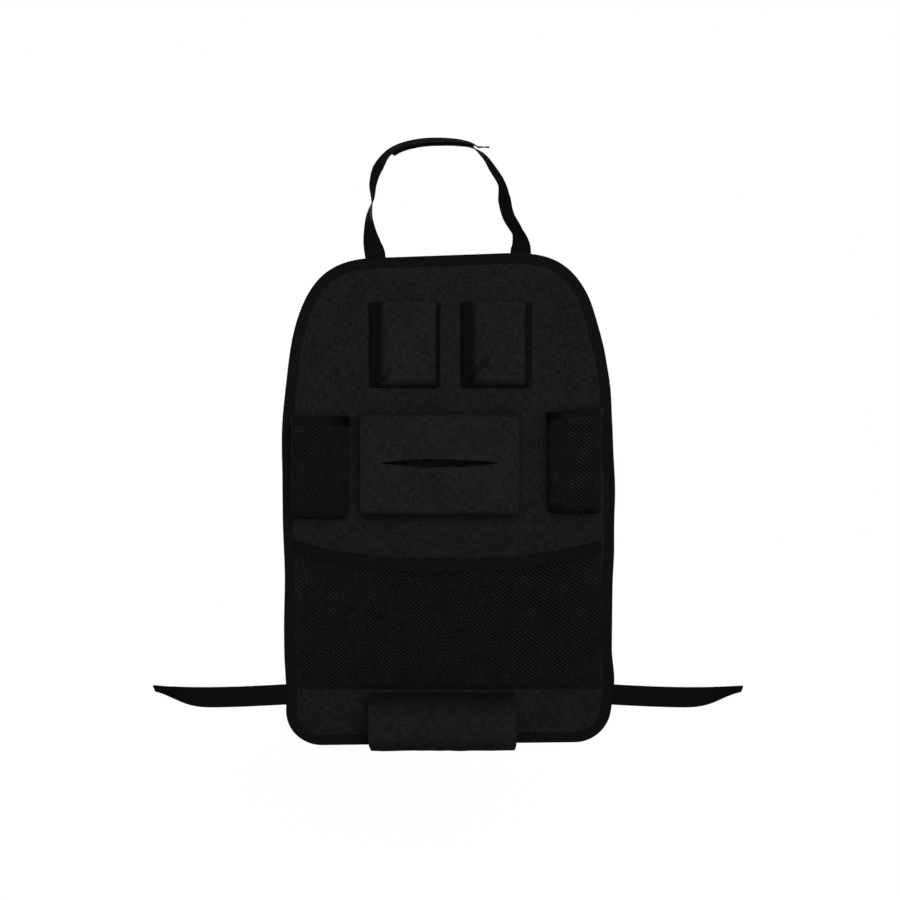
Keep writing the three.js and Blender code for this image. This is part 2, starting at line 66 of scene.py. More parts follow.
# Studio. A white room and a pale floor below the organizer, a soft lamp from the front, a
# weaker one from behind and the even light of the room.
class Signal:
    """An output of a node tree. Arithmetic on signals adds Math nodes to that tree."""

    def __init__(self, tree, socket=None):
        self.tree = tree
        self.socket = socket

    def node(self, kind, inputs=None, settings=None, output=0):
        """Adds a node: its settings first, then the values or links of its inputs."""
        node = self.tree.nodes.new(kind)
        for name, value in (settings or {}).items():
            setattr(node, name, value)
        for key, value in (inputs or {}).items():
            if isinstance(value, Signal):
                self.tree.links.new(value.socket, node.inputs[key])
            else:
                node.inputs[key].default_value = value
        return Signal(self.tree, node.outputs[output] if node.outputs else None)

    def math(self, operation, second=0.0, third=0.0):
        inputs = {0: self, 1: second, 2: third}
        return self.node("ShaderNodeMath", inputs, {"operation": operation})

    def __add__(self, other):
        return self.math("ADD", other)

    def __sub__(self, other):
        return self.math("SUBTRACT", other)

    def __rsub__(self, other):
        return self.math("MULTIPLY_ADD", -1.0, other)

    def __mul__(self, other):
        return self.math("MULTIPLY", other)

    def ridge(self):
        """A row of round ridges, one in each whole number."""
        return (self * math.pi).math("SINE").math("ABSOLUTE")

    def clamped(self):
        """The signal kept from 0 to 1."""
        return self.math("MAXIMUM", 0.0).math("MINIMUM", 1.0)

    def between(self, first, second):
        """A colour that goes from one colour at 0 to another at 1."""
        return self.node("ShaderNodeMix", {0: self, 6: first, 7: second},
                         {"data_type": "RGBA"}, output=2)


def shader_tree(owner):
    """The emptied node tree of a material or the world, as a signal to add nodes with."""
    owner.use_nodes = True
    owner.node_tree.nodes.clear()
    return Signal(owner.node_tree)


room_light = 0.12
lamps = {"front_lamp": (2.8, 84, 5), "back_lamp": (1.6, 89, 172)}
lamp_angle = math.radians(36)
floor_height = -0.56
floor_wide = 7.0
floor_colour = (0.82, 0.82, 0.82, 1)
floor_glow = 1.2
shadow_share = 0.2
pure_white = (1, 1, 1, 1)

world = bpy.data.worlds.new("room")
scene.world = world
tree = shader_tree(world)
ray = "ShaderNodeLightPath"
seen = (tree.node(ray, output="Is Camera Ray") + tree.node(ray, output="Is Glossy Ray")
        + tree.node(ray, output="Is Transmission Ray"))
white, light = (tree.node("ShaderNodeBackground", {"Color": pure_white, "Strength": strength})
                for strength in (1.0, room_light))
shown = tree.node("ShaderNodeMixShader", {0: seen, 1: light, 2: white})
tree.node("ShaderNodeOutputWorld", {"Surface": shown})

for name, (strength, tilt, turn) in lamps.items():
    lamp = bpy.data.objects.new(name, bpy.data.lights.new(name, "SUN"))
    lamp.data.energy = strength
    lamp.data.angle = lamp_angle
    lamp.rotation_euler = (math.radians(tilt), 0, math.radians(turn))
    scene.collection.objects.link(lamp)

floor_mesh = bpy.data.meshes.new("floor")
floor_mesh.from_pydata(
    [(x * floor_wide / 2, y * floor_wide / 2, floor_height)
     for x, y in ((-1, -1), (1, -1), (1, 1), (-1, 1))], [], [(0, 1, 2, 3)])
floor = bpy.data.objects.new("floor", floor_mesh)
scene.collection.objects.link(floor)
floor_finish = bpy.data.materials.new("pale_floor")
tree = shader_tree(floor_finish)
matt = tree.node("ShaderNodeBsdfDiffuse", {"Color": floor_colour})
glow = tree.node("ShaderNodeEmission", {"Color": pure_white, "Strength": floor_glow})
seen = tree.node(ray, output="Is Camera Ray") * (1 - shadow_share)
shown = tree.node("ShaderNodeMixShader", {0: seen, 1: matt, 2: glow})
tree.node("ShaderNodeOutputMaterial", {"Surface": shown})
floor_mesh.materials.append(floor_finish)


# Panel layers. A woven polyester face cloth, a thin foam sheet and a lining, cut to one
# outline and pressed thin round the rim, where the binding is sewn on.
panel_low, panel_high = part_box("edge_binding")
half_wide = panel_high.x
panel_top = panel_high.z
panel_foot = panel_low.z
top_edge_long = 152 * mm
top_edge_tilt = 5.5 * mm
shoulder_high = 280 * mm
left_pulls = (243 * mm, 87 * mm)
right_pulls = (270 * mm, 65 * mm)
foot_narrowing = 3 * mm
foot_radius = 45 * mm
foot_edge_tilt = 3.5 * mm
face_level = -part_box("face_panel")[0].y
face_thick = 0.8 * mm
foam_front = -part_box("foam_sheet")[0].y
foam_back = -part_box("foam_sheet")[1].y
lining_thick = 0.8 * mm
rim_press = 0.5 * mm
lining_press = 1.1 * mm
rim_wide = 13 * mm
rim_slope = 4 * mm
layer_inset = 2.6 * mm
outline_pitch = 2.5 * mm
panel_pitch = 3 * mm


def smooth_step(value, low, high):
    share = np.clip((value - low) / (high - low), 0, 1)
    return share * share * (3 - 2 * share)


def bezier(a, b, c, d, count=80):
    t = np.linspace(0, 1, count)[:, None]
    a, b, c, d = (np.array(p) for p in (a, b, c, d))
    return a * (1 - t) ** 3 + 3 * b * t * (1 - t) ** 2 + 3 * c * t * t * (1 - t) + d * t ** 3


def arc(centre, radius, start, end, count=20):
    angle = np.linspace(start, end, count)
    return np.stack([centre[0] + radius * np.cos(angle), centre[1] + radius * np.sin(angle)], 1)


def unit(vectors):
    """Vectors of the same directions with a length of one."""
    return vectors / np.maximum(np.linalg.norm(vectors, axis=-1), 1e-12)[..., None]


def closed(line):
    return np.concatenate([line, line[:1]])


def way_along(line):
    """How far each point of a line lies along it."""
    return np.concatenate([[0], np.cumsum(np.linalg.norm(np.diff(line, axis=0), axis=1))])


def at_shares(line, shares):
    """The points at shares of the whole way along a line."""
    way = way_along(line)
    return np.stack([np.interp(shares * way[-1], way, values) for values in line.T], 1)


def resampled(line, pitch):
    """A line of points, set out again at even spaces of about one pitch."""
    count = max(2, round(way_along(line)[-1] / pitch)) + 1
    return at_shares(line, np.linspace(0, 1, count))


def trace_outline():
    """The panel's edge seen from the front, anticlockwise from the left foot corner."""
    foot_side = half_wide - foot_narrowing
    corner_x = foot_side - foot_radius
    corner_z = panel_foot + foot_radius
    shoulder = panel_top - shoulder_high
    top_side = top_edge_long / 2
    left_top = panel_top - top_edge_tilt
    line = np.concatenate([
        arc((-corner_x, corner_z), foot_radius, math.pi, 1.5 * math.pi),
        arc((corner_x, corner_z + foot_edge_tilt), foot_radius, 1.5 * math.pi, math.tau),
        bezier((half_wide, shoulder), (half_wide, shoulder + right_pulls[0]),
               (top_side + right_pulls[1], panel_top), (top_side, panel_top)),
        bezier((-top_side, left_top), (-top_side - left_pulls[1], left_top),
               (-half_wide, shoulder + left_pulls[0]), (-half_wide, shoulder)),
    ])
    return resampled(closed(line), outline_pitch)[:-1]


def inset_line(line, distance):
    """A closed line moved inwards by a distance, or by a list of distances."""
    way = unit(np.roll(line, -1, 0) - np.roll(line, 1, 0))
    return line + np.stack([-way[:, 1], way[:, 0]], 1) * np.reshape(distance, (-1, 1))


def places(length, pitch, edge=0.5 * mm):
    """Places along a length, about one pitch apart and closer at both ends."""
    inner = np.linspace(2 * edge, length - 2 * edge, max(2, round(length / pitch)))
    start = np.array([0, 0.4 * edge, edge])
    return np.concatenate([start, inner, length - start[::-1]])


def rounded_half(places_across, thick):
    """Half of the thickness of a cloth at places across it, round at both edges."""
    inwards = np.minimum(places_across - places_across[0], places_across[-1] - places_across)
    rest = 1 - np.clip(inwards / (thick / 2), 0, 1)
    return thick / 2 * np.sqrt(np.maximum(1 - rest ** 2, 0.02))


def grid_normals(grid, loop=False):
    if loop:
        along = np.roll(grid, -1, 0) - np.roll(grid, 1, 0)
    else:
        along = np.gradient(grid, axis=0)
    return unit(np.cross(np.gradient(grid, axis=1), along))


def cloth_mesh(name, front, back, uv, finish, loop=False, kept=None):
    """An object whose closed mesh has a front and a back grid of points and closed edges.
    With loop, its last row joins its first. Cells that aren't kept are holes."""
    count = front.shape[0] * front.shape[1]
    f = np.arange(count).reshape(front.shape[:2])
    if loop:
        f = np.concatenate([f, f[:1]])
    cells = np.stack([f[:-1, :-1], f[:-1, 1:], f[1:, 1:], f[1:, :-1]], -1)
    cells = cells.reshape(-1, 4) if kept is None else cells[kept]
    ways = np.stack([cells, np.roll(cells, -1, 1)], -1).reshape(-1, 2)
    rim = ways[~np.isin(ways[:, 1] * count + ways[:, 0], ways[:, 0] * count + ways[:, 1])]
    walls = np.stack([rim[:, 1], rim[:, 0], rim[:, 0] + count, rim[:, 1] + count], 1)
    quads = np.concatenate([cells, cells[:, ::-1] + count, walls])
    points = np.concatenate([front.reshape(-1, 3), back.reshape(-1, 3)])
    a, b, c, d = points[quads].swapaxes(0, 1)
    if (a * (np.cross(b, c) + np.cross(c, d))).sum() < 0:
        quads = quads[:, ::-1]
    mesh = bpy.data.meshes.new(name)
    mesh.from_pydata(points.tolist(), [], quads.tolist())
    mesh.polygons.foreach_set("use_smooth", np.ones(len(quads), bool))
    layer = mesh.uv_layers.new(name="cloth")
    flat = np.concatenate([uv.reshape(-1, 2)] * 2)
    layer.data.foreach_set("uv", flat[quads].astype(np.float32).ravel())
    mesh.materials.append(finish)
    obj = bpy.data.objects.new(name, mesh)
    scene.collection.objects.link(obj)
    return obj


def cloth_piece(name, grid, half, uv, finish, loop=False):
    """A cloth over a grid of points, thickened by half to both sides."""
    lift = grid_normals(grid, loop) * np.broadcast_to(half, grid.shape[:2])[..., None]
    return cloth_mesh(name, grid + lift, grid - lift, uv, finish, loop)


def arc_uv(grid):
    """How far each point of a grid lies along its row and its column, in metres."""
    across = np.linalg.norm(np.diff(grid, axis=1), axis=2)
    along = np.linalg.norm(np.diff(grid, axis=0), axis=2)
    u = np.concatenate([np.zeros((len(grid), 1)), np.cumsum(across, 1)], 1)
    v = np.concatenate([np.zeros((1, grid.shape[1])), np.cumsum(along, 0)])
    return np.stack([u, v], 2)


def seat(obj, slot, *nodes):
    """The piece belongs to the organizer's one body and stands for its plain solids."""
    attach(obj, "root")
    if nodes:
        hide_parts(*nodes)
# How far painted shade evens out the cloth's tone, and how far it darkens it
shade_evenness = 0.8
painted_shade_darkness = 0.55


def fabric(name, colour, roughness, pattern, relief, specular=0.015, swing=0.42):
    """A cloth finish. pattern gives the height and the tone of the cloth, both about 0 to 1,
    from the place along and across it in millimetres. swing is how far the tone may stray.
    Where the mesh's pleat shade attribute is high, shade is painted in: the cloth is painted darker
    and more even."""
    finish = bpy.data.materials.new(name)
    tree = shader_tree(finish)
    uv = tree.node("ShaderNodeUVMap", settings={"uv_map": "cloth"})
    u, v = (uv.node("ShaderNodeSeparateXYZ", {0: uv}, output=axis) * 1000.0 for axis in ("X", "Y"))
    height, tone = pattern(u, v, tree.node("ShaderNodeTexCoord", output="Object"))
    dark, pale = (tuple(share * c for c in colour) + (1,) for share in (1 - swing, 1 + swing))
    side = tree.node("ShaderNodeAttribute", settings={"attribute_name": "painted_pleat_shade"},
                     output="Fac")
    # Painted shade: where the pleat shade attribute is high, the tone is evened out and then
    # darkened towards black
    shade = (tone * (1 - side * shade_evenness)).between(dark, pale)
    shade = (side * painted_shade_darkness).between(shade, (0, 0, 0, 1))
    bump = tree.node("ShaderNodeBump", {"Height": height, "Strength": 1.0, "Distance": relief})
    shader = tree.node("ShaderNodeBsdfPrincipled", {
        "Base Color": shade, "Roughness": roughness, "Specular IOR Level": specular,
        "Normal": bump})
    tree.node("ShaderNodeOutputMaterial", {"Surface": shader})
    return finish


def cloudy(place, scale, detail=2.0):
    return place.node("ShaderNodeTexNoise", {"Vector": place, "Scale": scale, "Detail": detail})


def uneven(u, v, across, along, seed):
    """Soft noise with its own scale across and along, in features per millimetre."""
    return cloudy(u.node("ShaderNodeCombineXYZ", {0: u * across, 1: v * along, 2: seed}), 1.0)


def yarns(u, v, across, along):
    """Yarns over and under each other, from -1 to 1, each so many millimetres wide."""
    return (u * (math.pi / across)).math("SINE") * (v * (math.pi / along)).math("SINE")


def oxford(u, v, body):
    """A plain weave of thick yarn that is a little uneven from yarn to yarn."""
    weave = yarns(u, v, 0.75, 0.75) * 0.5 + 0.5
    grain = (uneven(u, v, 0.10, 0.9, 3.0) + uneven(u, v, 0.9, 0.10, 8.0)) * 2.6 - 2.1
    tone = grain + weave * 0.3 + cloudy(body, 22.0) * 0.7 - 0.5
    return weave * 0.7 + grain * 0.3, tone.clamped()


def fine_weave(u, v, body):
    """A close plain weave of thin yarn."""
    weave = yarns(u, v, 0.45, 0.45) * 0.5 + 0.5
    grain = uneven(u, v, 0.3, 0.6, 5.0)
    return weave * 0.8 + grain * 0.2, weave * 0.3 + grain * 0.9 - 0.1


face_cloth = fabric("face_cloth", (0.0097, 0.0097, 0.0111), 0.85, oxford, 0.22 * mm)
pocket_cloth = fabric("pocket_cloth", (0.0108, 0.0108, 0.0122), 0.85, oxford, 0.22 * mm)
lining_cloth = fabric("lining_cloth", (0.0095, 0.0095, 0.0102), 0.8, fine_weave, 0.12 * mm)

outline = cut_outline = trace_outline()

# Where the soft edge bulges out of its cut shape or draws in, each as a height, half of the
# length that it takes up and how far it goes
left_bulges = [(205, 55, 0.5), (85, 65, 1.6), (-92, 70, -1.7), (-238, 55, -2.0)]
right_bulges = [(215, 40, -1.1), (135, 40, 0.9), (5, 60, 1.9), (-60, 50, 1.5), (-221, 40, 3.4)]


def strays(heights, bulges):
    """How far one side of the panel strays outwards at some heights."""
    return sum(far * mm * (1 - smooth_step(np.abs(heights - middle * mm), 0, half * mm))
               for middle, half, far in bulges)


left_strays = -strays(outline[:, 1], left_bulges)
right_strays = strays(outline[:, 1], right_bulges)
sideways = smooth_step(np.abs(outline[:, 0]), half_wide - 60 * mm, half_wide - 15 * mm)
outward = sideways * np.where(outline[:, 0] < 0, left_strays, right_strays)
outline = outline + np.stack([outward, 0 * outward], 1)

# The places of the pockets on the panel
phone_sides = [-96 * mm, -10 * mm, 15.5 * mm, 101.5 * mm]
phone_foot = panel_top - 164 * mm
phone_pocket_high = 103 * mm
band_x = -10 * mm
band_wide = 190 * mm
band_high = 121 * mm
band_top = panel_top - 197 * mm
band_foot = band_top - band_high
net_sides = [(-187 * mm, -123 * mm), (122 * mm, 187 * mm)]
net_foots = [panel_top - 324 * mm, panel_top - 317 * mm]
bottle_net_high = 124 * mm
large_net_foot = panel_foot + 69 * mm
sleeve_x = -6.5 * mm
sleeve_long = 176 * mm
sleeve_top = panel_foot + 63.5 * mm
sleeve_foot_seam = 17 * mm

# Where the pockets' seams hold the face cloth down. A level one is its left, its right and
# its height, an upright one its place, its foot and its top, and both are made into two ends
level = [(*phone_sides[:2], phone_foot), (*phone_sides[2:], phone_foot),
         (net_sides[0][0], net_sides[1][1], large_net_foot)]
level += [(band_x - band_wide / 2, band_x + band_wide / 2, z) for z in (band_top, band_foot)]
level += [(sleeve_x - sleeve_long / 2, sleeve_x + sleeve_long / 2, z)
          for z in (sleeve_top, panel_foot + sleeve_foot_seam)]
upright = [(x, phone_foot, phone_foot + phone_pocket_high) for x in phone_sides]
for sides, foot in zip(net_sides, net_foots):
    level += [(*sides, foot), (*sides, foot + 5 * mm)]
    upright += [(x, foot, foot + bottle_net_high) for x in sides]
seams = [(a, z, b, z) for a, b, z in level] + [(x, a, x, b) for x, a, b in upright]


def beside(x, z, ax, az, bx, bz):
    """Where places lie beside a straight line: how far along it, as a share of its length,
    and how far to one side of it, with its length."""
    long = math.hypot(bx - ax, bz - az)
    share = ((x - ax) * (bx - ax) + (z - az) * (bz - az)) / long ** 2
    aside = ((x - ax) * (bz - az) - (z - az) * (bx - ax)) / long
    return share, aside, long


def seam_distance(x, z):
    """How far each place on the panel is from the nearest seam."""
    nearest = np.inf
    for seam in seams:
        share, aside, long = beside(x, z, *seam)
        nearest = np.minimum(nearest, np.hypot(aside, (share - np.clip(share, 0, 1)) * long))
    return nearest


def creases(x, z, *rows):
    """Soft straight folds that fade out at both of their ends. Each row gives the two ends
    of a fold, its width and its height in millimetres."""
    total = 0
    for *ends, wide, high in np.array(rows) * mm:
        share, aside, _ = beside(x, z, *ends)
        fade = smooth_step(share, -0.15, 0.25) * (1 - smooth_step(share, 0.75, 1.15))
        total = total + high * fade * np.exp(-(aside / wide) ** 2)
    return total


def soft_noise(x, z, scale, seed):
    """Smooth noise from -1 to 1 over the panel, with features of about one scale."""
    values = [noise.noise((a, b, seed)) for a, b in zip(x.ravel() / scale, z.ravel() / scale)]
    return np.reshape(values, x.shape)


def line_noise(way, scale, *seeds):
    """Smooth noise from -1 to 1 along a line."""
    return np.array([noise.noise((s / scale, *seeds)) for s in way])


def panel_relief(x, z, rim):
    """How far the face cloth stands out of its flat place, at places so far from the rim."""
    loose = smooth_step(seam_distance(x, z), 1 * mm, 14 * mm)
    loose = loose * smooth_step(rim, 14 * mm, 30 * mm)
    swell = 0.9 * mm + 0.8 * mm * soft_noise(x, z, 70 * mm, 1.5)
    swell = swell + 0.3 * mm * soft_noise(x, z, 21 * mm, 4.5)
    between = np.exp(-((z - 119 * mm) / (9 * mm)) ** 2) * smooth_step(x, -95 * mm, -60 * mm)
    between = between * (1 - smooth_step(x, 92 * mm, 120 * mm))
    rumple = 4.4 * mm * between * (0.5 + soft_noise(x + 0.35 * z, z * 0.35, 13 * mm, 7.5))
    folds = creases(
        x, z, (122, 268, 168, 208, 6.5, 4.2), (134, 266, 178, 204, 7, -1.6),
        (112, 226, 150, 196, 9, 0.9), (-2, 292, -2.5, 236, 1.6, 0.9),
        (-112, 205, -122, 140, 9, -0.9), (-133, 128, -116, 178, 6, 1.1),
        (-122, -252, -98, -282, 5, 1.4), (-150, -238, -112, -246, 4, 1))
    pucker = 0.35 * mm * np.exp(-((rim - 17 * mm) / (5 * mm)) ** 2)
    pucker = pucker * soft_noise(x, z, 6 * mm, 9.5)
    return loose * np.maximum(swell + rumple + folds, 0) + pucker


def edge_distance(x, z):
    """How far each place on the panel is from the panel's edge."""
    flat = np.stack([x.ravel(), z.ravel()], 1)
    nearest = [np.linalg.norm(outline - point, axis=1).min() for point in flat]
    return np.reshape(nearest, x.shape)


def on_panel(line, depth):
    """A line on the panel's plan, at one depth in front of its back or at one for each point."""
    return np.stack([line[:, 0], np.broadcast_to(-depth, len(line)), line[:, 1]], 1)


def panel_places():
    """A grid of places over the whole panel inside the binding's fold, shaped to its edge."""
    line = inset_line(outline, layer_inset)
    left_foot, right_foot, right_top, left_top = (
        np.argmin(line @ way) for way in ((1, 1), (-1, 1), (-1.3, -1), (1.3, -1)))

    def side(first, last):
        """The points of the line from one corner to the next."""
        return line[np.arange(first, last + 1 + len(line) * (last < first)) % len(line)]

    u = places(2 * half_wide, panel_pitch) / (2 * half_wide)
    v = places(2 * panel_top, panel_pitch) / (2 * panel_top)
    foot = at_shares(side(left_foot, right_foot), u)
    right = at_shares(side(right_foot, right_top), v)
    top = at_shares(side(right_top, left_top)[::-1], u)
    left = at_shares(side(left_top, left_foot)[::-1], v)
    u, v = u[None, :, None], v[:, None, None]
    grid = (1 - v) * foot[None] + v * top[None] + (1 - u) * left[:, None] + u * right[:, None]
    grid -= (1 - u) * (1 - v) * foot[0] + u * (1 - v) * foot[-1]
    grid -= (1 - u) * v * top[0] + u * v * top[-1]
    return grid[..., 0], grid[..., 1]


panel_x, panel_z = panel_places()
panel_uv = np.stack([panel_x, panel_z], 2)
panel_rim = edge_distance(panel_x, panel_z)
rim_share = 1 - smooth_step(panel_rim, rim_wide + 0.1 * mm, rim_wide + rim_slope)
stand_out = panel_relief(panel_x, panel_z, panel_rim) * (1 - rim_share)


def layer(name, front, back, finish):
    """A layer of the panel between two depths in front of its flat back."""
    grids = [np.stack([panel_x, -depth, panel_z], 2) for depth in (front, back)]
    return cloth_mesh(name, grids[0], grids[1], panel_uv, finish)


face_front = face_level - rim_press * rim_share + stand_out
face_sheet = layer("face_cloth_sheet", face_front, face_front - face_thick, face_cloth)
seat(face_sheet, "face_cloth", "face_panel")


def foam_cells(u, v, body):
    """The open skin of cut foam."""
    cells = body.node("ShaderNodeTexVoronoi", {"Vector": body, "Scale": 900.0})
    return cells, cells * 0.8


foam_finish = fabric("cut_foam", (0.04, 0.04, 0.042), 0.95, foam_cells, 0.1 * mm)
foam_core = layer(
    "foam_core", foam_front - (rim_press + 0.02 * mm) * rim_share + stand_out,
    foam_back + lining_press * rim_share, foam_finish)
seat(foam_core, "foam", "foam_sheet")

lining_sheet = layer(
    "lining_sheet", lining_thick + lining_press * rim_share, lining_press * rim_share, lining_cloth)
seat(lining_sheet, "lining", "back_lining")


# Edge binding. One ribbed polyester tape, folded over the rim of the three layers and sewn
# through all of them near its inner edge.
binding_thick = 1 * mm
binding_front = -panel_low.y
binding_sew_inset = 10.6 * mm


def ribbed(u, v, body):
    """A tape with fine ribs across it."""
    ribs = (u * (1 / 1.45)).ridge()
    grain = uneven(u, v, 0.25, 0.5, 2.0)
    return ribs * 0.85 + grain * 0.15, ribs * 0.35 + grain * 0.9 - 0.15


tape_cloth = fabric("ribbed_tape", (0.0049, 0.0048, 0.0053), 0.8, ribbed, 0.2 * mm)


def folded_profile(flap, gap, thick, turns=9):
    """The middle line of a tape folded in half over an edge: how far each point lies in from
    the fold's outer side, how far to one side of the edge, and how far along the line."""
    radius = (gap + thick) / 2
    run = places(flap - radius - thick / 2, 1.6 * mm)[::-1] + radius + thick / 2
    turn = np.linspace(0, math.pi, turns + 2)[1:-1]
    inwards = np.concatenate([run, radius + thick / 2 - radius * np.sin(turn), run[::-1]])
    aside = np.concatenate([
        np.full(len(run), -radius), -radius * np.cos(turn), np.full(len(run), radius)])
    return inwards, aside, way_along(np.stack([inwards, aside], 1))


def folded_tape(name, columns, along, across, thick, node, loop=False):
    """A tape made of lines, with how far they lie along and across the flat tape."""
    uv = np.stack(np.broadcast_arrays(along[:, None], across), 2)
    half = rounded_half(across, thick)
    tape = cloth_piece(name, np.stack(columns, 1), half, uv, tape_cloth, loop)
    seat(tape, "binding_tape", node)


outline_way = np.arange(len(outline)) * outline_pitch
join_fade = np.minimum(1, np.minimum(outline_way, outline_way[::-1]) / (40 * mm))
flap_wave = join_fade * line_noise(outline_way, 26 * mm, 0.5, 3.3)
flap_ripple = join_fade * line_noise(outline_way, 7 * mm, 5.5, 1.3)
inwards, aside, profile_way = folded_profile(
    rim_wide, binding_front - 2 * binding_thick, binding_thick)
columns = []
for inset, side in zip(inwards, aside):
    near_edge = smooth_step(inset, 4 * mm, rim_wide)
    swell = 0.22 * mm * near_edge * (1 + flap_ripple) if side > 0 else 0
    line = inset_line(outline, inset + 0.5 * mm * near_edge * flap_wave)
    columns.append(on_panel(line, binding_front / 2 + side + swell))
folded_tape("folded_binding", columns, outline_way, profile_way, binding_thick, "edge_binding",
            loop=True)


# Sewing thread. Each seam is a row of raised stitches of black polyester thread along a
# line on the cloth.
def thread_twist(u, v, body):
    """Thread too thin to show more than a slight unevenness."""
    grain = cloudy(body, 1500.0)
    return grain, grain


thread_finish = fabric("sewing_thread", (0.010, 0.010, 0.0112), 0.6, thread_twist, 0.05 * mm)
stitch_pitch = 3.1 * mm
stitch_long = 2.5 * mm
thread_radius = 0.24 * mm


def growing_tree(name, *sizes):
    """The inputs of a new geometry node tree: a mesh, a finish and some sizes."""
    tree = bpy.data.node_groups.new(name, "GeometryNodeTree")
    kinds = {"Mesh": "Geometry", "Finish": "Material", **dict.fromkeys(sizes, "Float")}
    for label, kind in kinds.items():
        tree.interface.new_socket(label, in_out="INPUT", socket_type=f"NodeSocket{kind}")
    tree.interface.new_socket("Mesh", in_out="OUTPUT", socket_type="NodeSocketGeometry")
    return [Signal(tree).node("NodeGroupInput", output=label) for label in kinds]


def grown_tree(grown, finish):
    """Ends a tree with real meshes, smooth and in the finish that it was given."""
    grown = grown.node("GeometryNodeRealizeInstances", {0: grown})
    grown = grown.node("GeometryNodeSetShadeSmooth", {0: grown})
    grown = grown.node("GeometryNodeSetMaterial", {0: grown, "Material": finish})
    grown.node("NodeGroupOutput", {0: grown})
    return grown.tree


def stitch_tree():
    line, finish, pitch, long, radius = growing_tree(
        "row_of_stitches", "Pitch", "Length", "Radius")
    line = line.node("GeometryNodeMeshToCurve", {0: line})
    line = line.node("GeometryNodeResampleCurve", {0: line, "Length": pitch}, {"mode": "LENGTH"})
    bead = line.node("GeometryNodeMeshUVSphere", {"Segments": 6, "Rings": 4, "Radius": 1.0})
    size = line.node("ShaderNodeCombineXYZ", {0: long * 0.5, 1: radius, 2: radius})
    bead = line.node("GeometryNodeTransform", {0: bead, "Scale": size})
    tangent = line.node("GeometryNodeInputTangent")
    turn = line.node("FunctionNodeAlignRotationToVector", {"Vector": tangent}, {"axis": "X"})
    rows = line.node("GeometryNodeInstanceOnPoints", {0: line, "Instance": bead, "Rotation": turn})
    return grown_tree(rows, finish)


def grown_piece(name, base, tree, values):
    """The plain object that a node tree makes of a base mesh."""
    obj = bpy.data.objects.new(name, base)
    scene.collection.objects.link(obj)
    modifier = obj.modifiers.new("grow", "NODES")
    modifier.node_group = tree
    for socket in tree.interface.items_tree:
        if socket.in_out == "INPUT" and socket.name in values:
            modifier[socket.identifier] = values[socket.name]
    graph = bpy.context.evaluated_depsgraph_get()
    mesh = bpy.data.meshes.new_from_object(obj.evaluated_get(graph), depsgraph=graph)
    obj.modifiers.remove(modifier)
    obj.data = mesh
    return obj


def line_mesh(name, lines):
    """A mesh of edges along lines of points. A closed line repeats its first point."""
    mesh = bpy.data.meshes.new(name)
    starts = np.cumsum([0] + [len(line) for line in lines]).tolist()
    edges = [(k, k + 1) for first, last in zip(starts, starts[1:]) for k in range(first, last - 1)]
    mesh.from_pydata(np.concatenate(lines).tolist(), edges, [])
    return mesh


stitches = stitch_tree()


def sewn(name, lines, slot="binding_tape"):
    """Rows of stitches along lines of points on the cloth."""
    seat(grown_piece(name, line_mesh(name, lines), stitches, {
        "Finish": thread_finish, "Pitch": stitch_pitch, "Length": stitch_long,
        "Radius": thread_radius}), slot)


sew_line = inset_line(outline, binding_sew_inset)
sewn("binding_stitches", [
    closed(on_panel(sew_line, binding_front + 0.28 * mm)),
    closed(on_panel(sew_line, -0.05 * mm)),
])


# Headrest loop. Two lengths of black webbing, sewn to the back of the panel and joined at
# the top of the arch by a hook tape and a loop tape, where the left one laps over the right.
webbing_wide = 25 * mm
webbing_thick = 1.4 * mm
strap_tail = 28 * mm
handle_wide = 177.4 * mm
handle_high = 136 * mm
fastener_wide = 20 * mm
fastener_thick = 1 * mm
seam_gap = 0.1 * mm
strap_level = seam_gap + webbing_thick / 2

# The way of the loop from the left to the right: a share of half its width, a share of its
# height and the webbing's turn in degrees, 0 where its face is to the front
handle_rows = [
    (-1.04, 0.08, 30), (-1.07, 0.19, 54), (-1.08, 0.335, 77), (-1.035, 0.48, 98),
    (-1.03, 0.625, 113), (-0.96, 0.77, 124), (-0.835, 0.875, 114), (-0.66, 0.945, 113),
    (-0.385, 0.99, 112), (-0.11, 1, 111), (0.165, 0.99, 107), (0.35, 0.96, 100),
    (0.475, 0.89, 87), (0.6, 0.77, 77), (0.735, 0.625, 74), (0.775, 0.48, 55),
    (0.83, 0.335, 58), (0.955, 0.19, 62), (1, 0.08, 32),
]
root_heights = (panel_top - top_edge_tilt, panel_top)
stations = [(-handle_wide / 2, root_heights[0] - strap_tail, 0),
            (-handle_wide / 2, root_heights[0] + webbing_thick, 0)]
stations += [(a * handle_wide / 2, panel_top + r * handle_high, t) for a, r, t in handle_rows]
stations += [(handle_wide / 2, root_heights[1] + webbing_thick, 0),
             (handle_wide / 2, root_heights[1] - strap_tail, 0)]
stations = np.array(stations)


def through(points, share):
    """A smooth curve through points, at shares of its way from 0 to 1 (centripetal)."""
    ends = [2 * points[0] - points[1], 2 * points[-1] - points[-2]]
    p = np.concatenate([ends[:1], points, ends[1:]])
    place = np.clip(share, 0, 1) * (len(points) - 1)
    i = np.minimum(place.astype(int), len(points) - 2)
    w = (place - i)[:, None]
    step = np.sqrt(np.linalg.norm(np.diff(p, axis=0), axis=1))[:, None]
    d0, d1, d2 = step[i], step[i + 1], step[i + 2]
    p0, p1, p2, p3 = p[i], p[i + 1], p[i + 2], p[i + 3]
    leave = ((p1 - p0) / d0 - (p2 - p0) / (d0 + d1) + (p2 - p1) / d1) * d1
    arrive = ((p2 - p1) / d1 - (p3 - p1) / (d1 + d2) + (p3 - p2) / d2) * d1
    bend = 3 * (p2 - p1) - 2 * leave - arrive
    return p1 + leave * w + bend * w ** 2 + (2 * (p1 - p2) + leave + arrive) * w ** 3


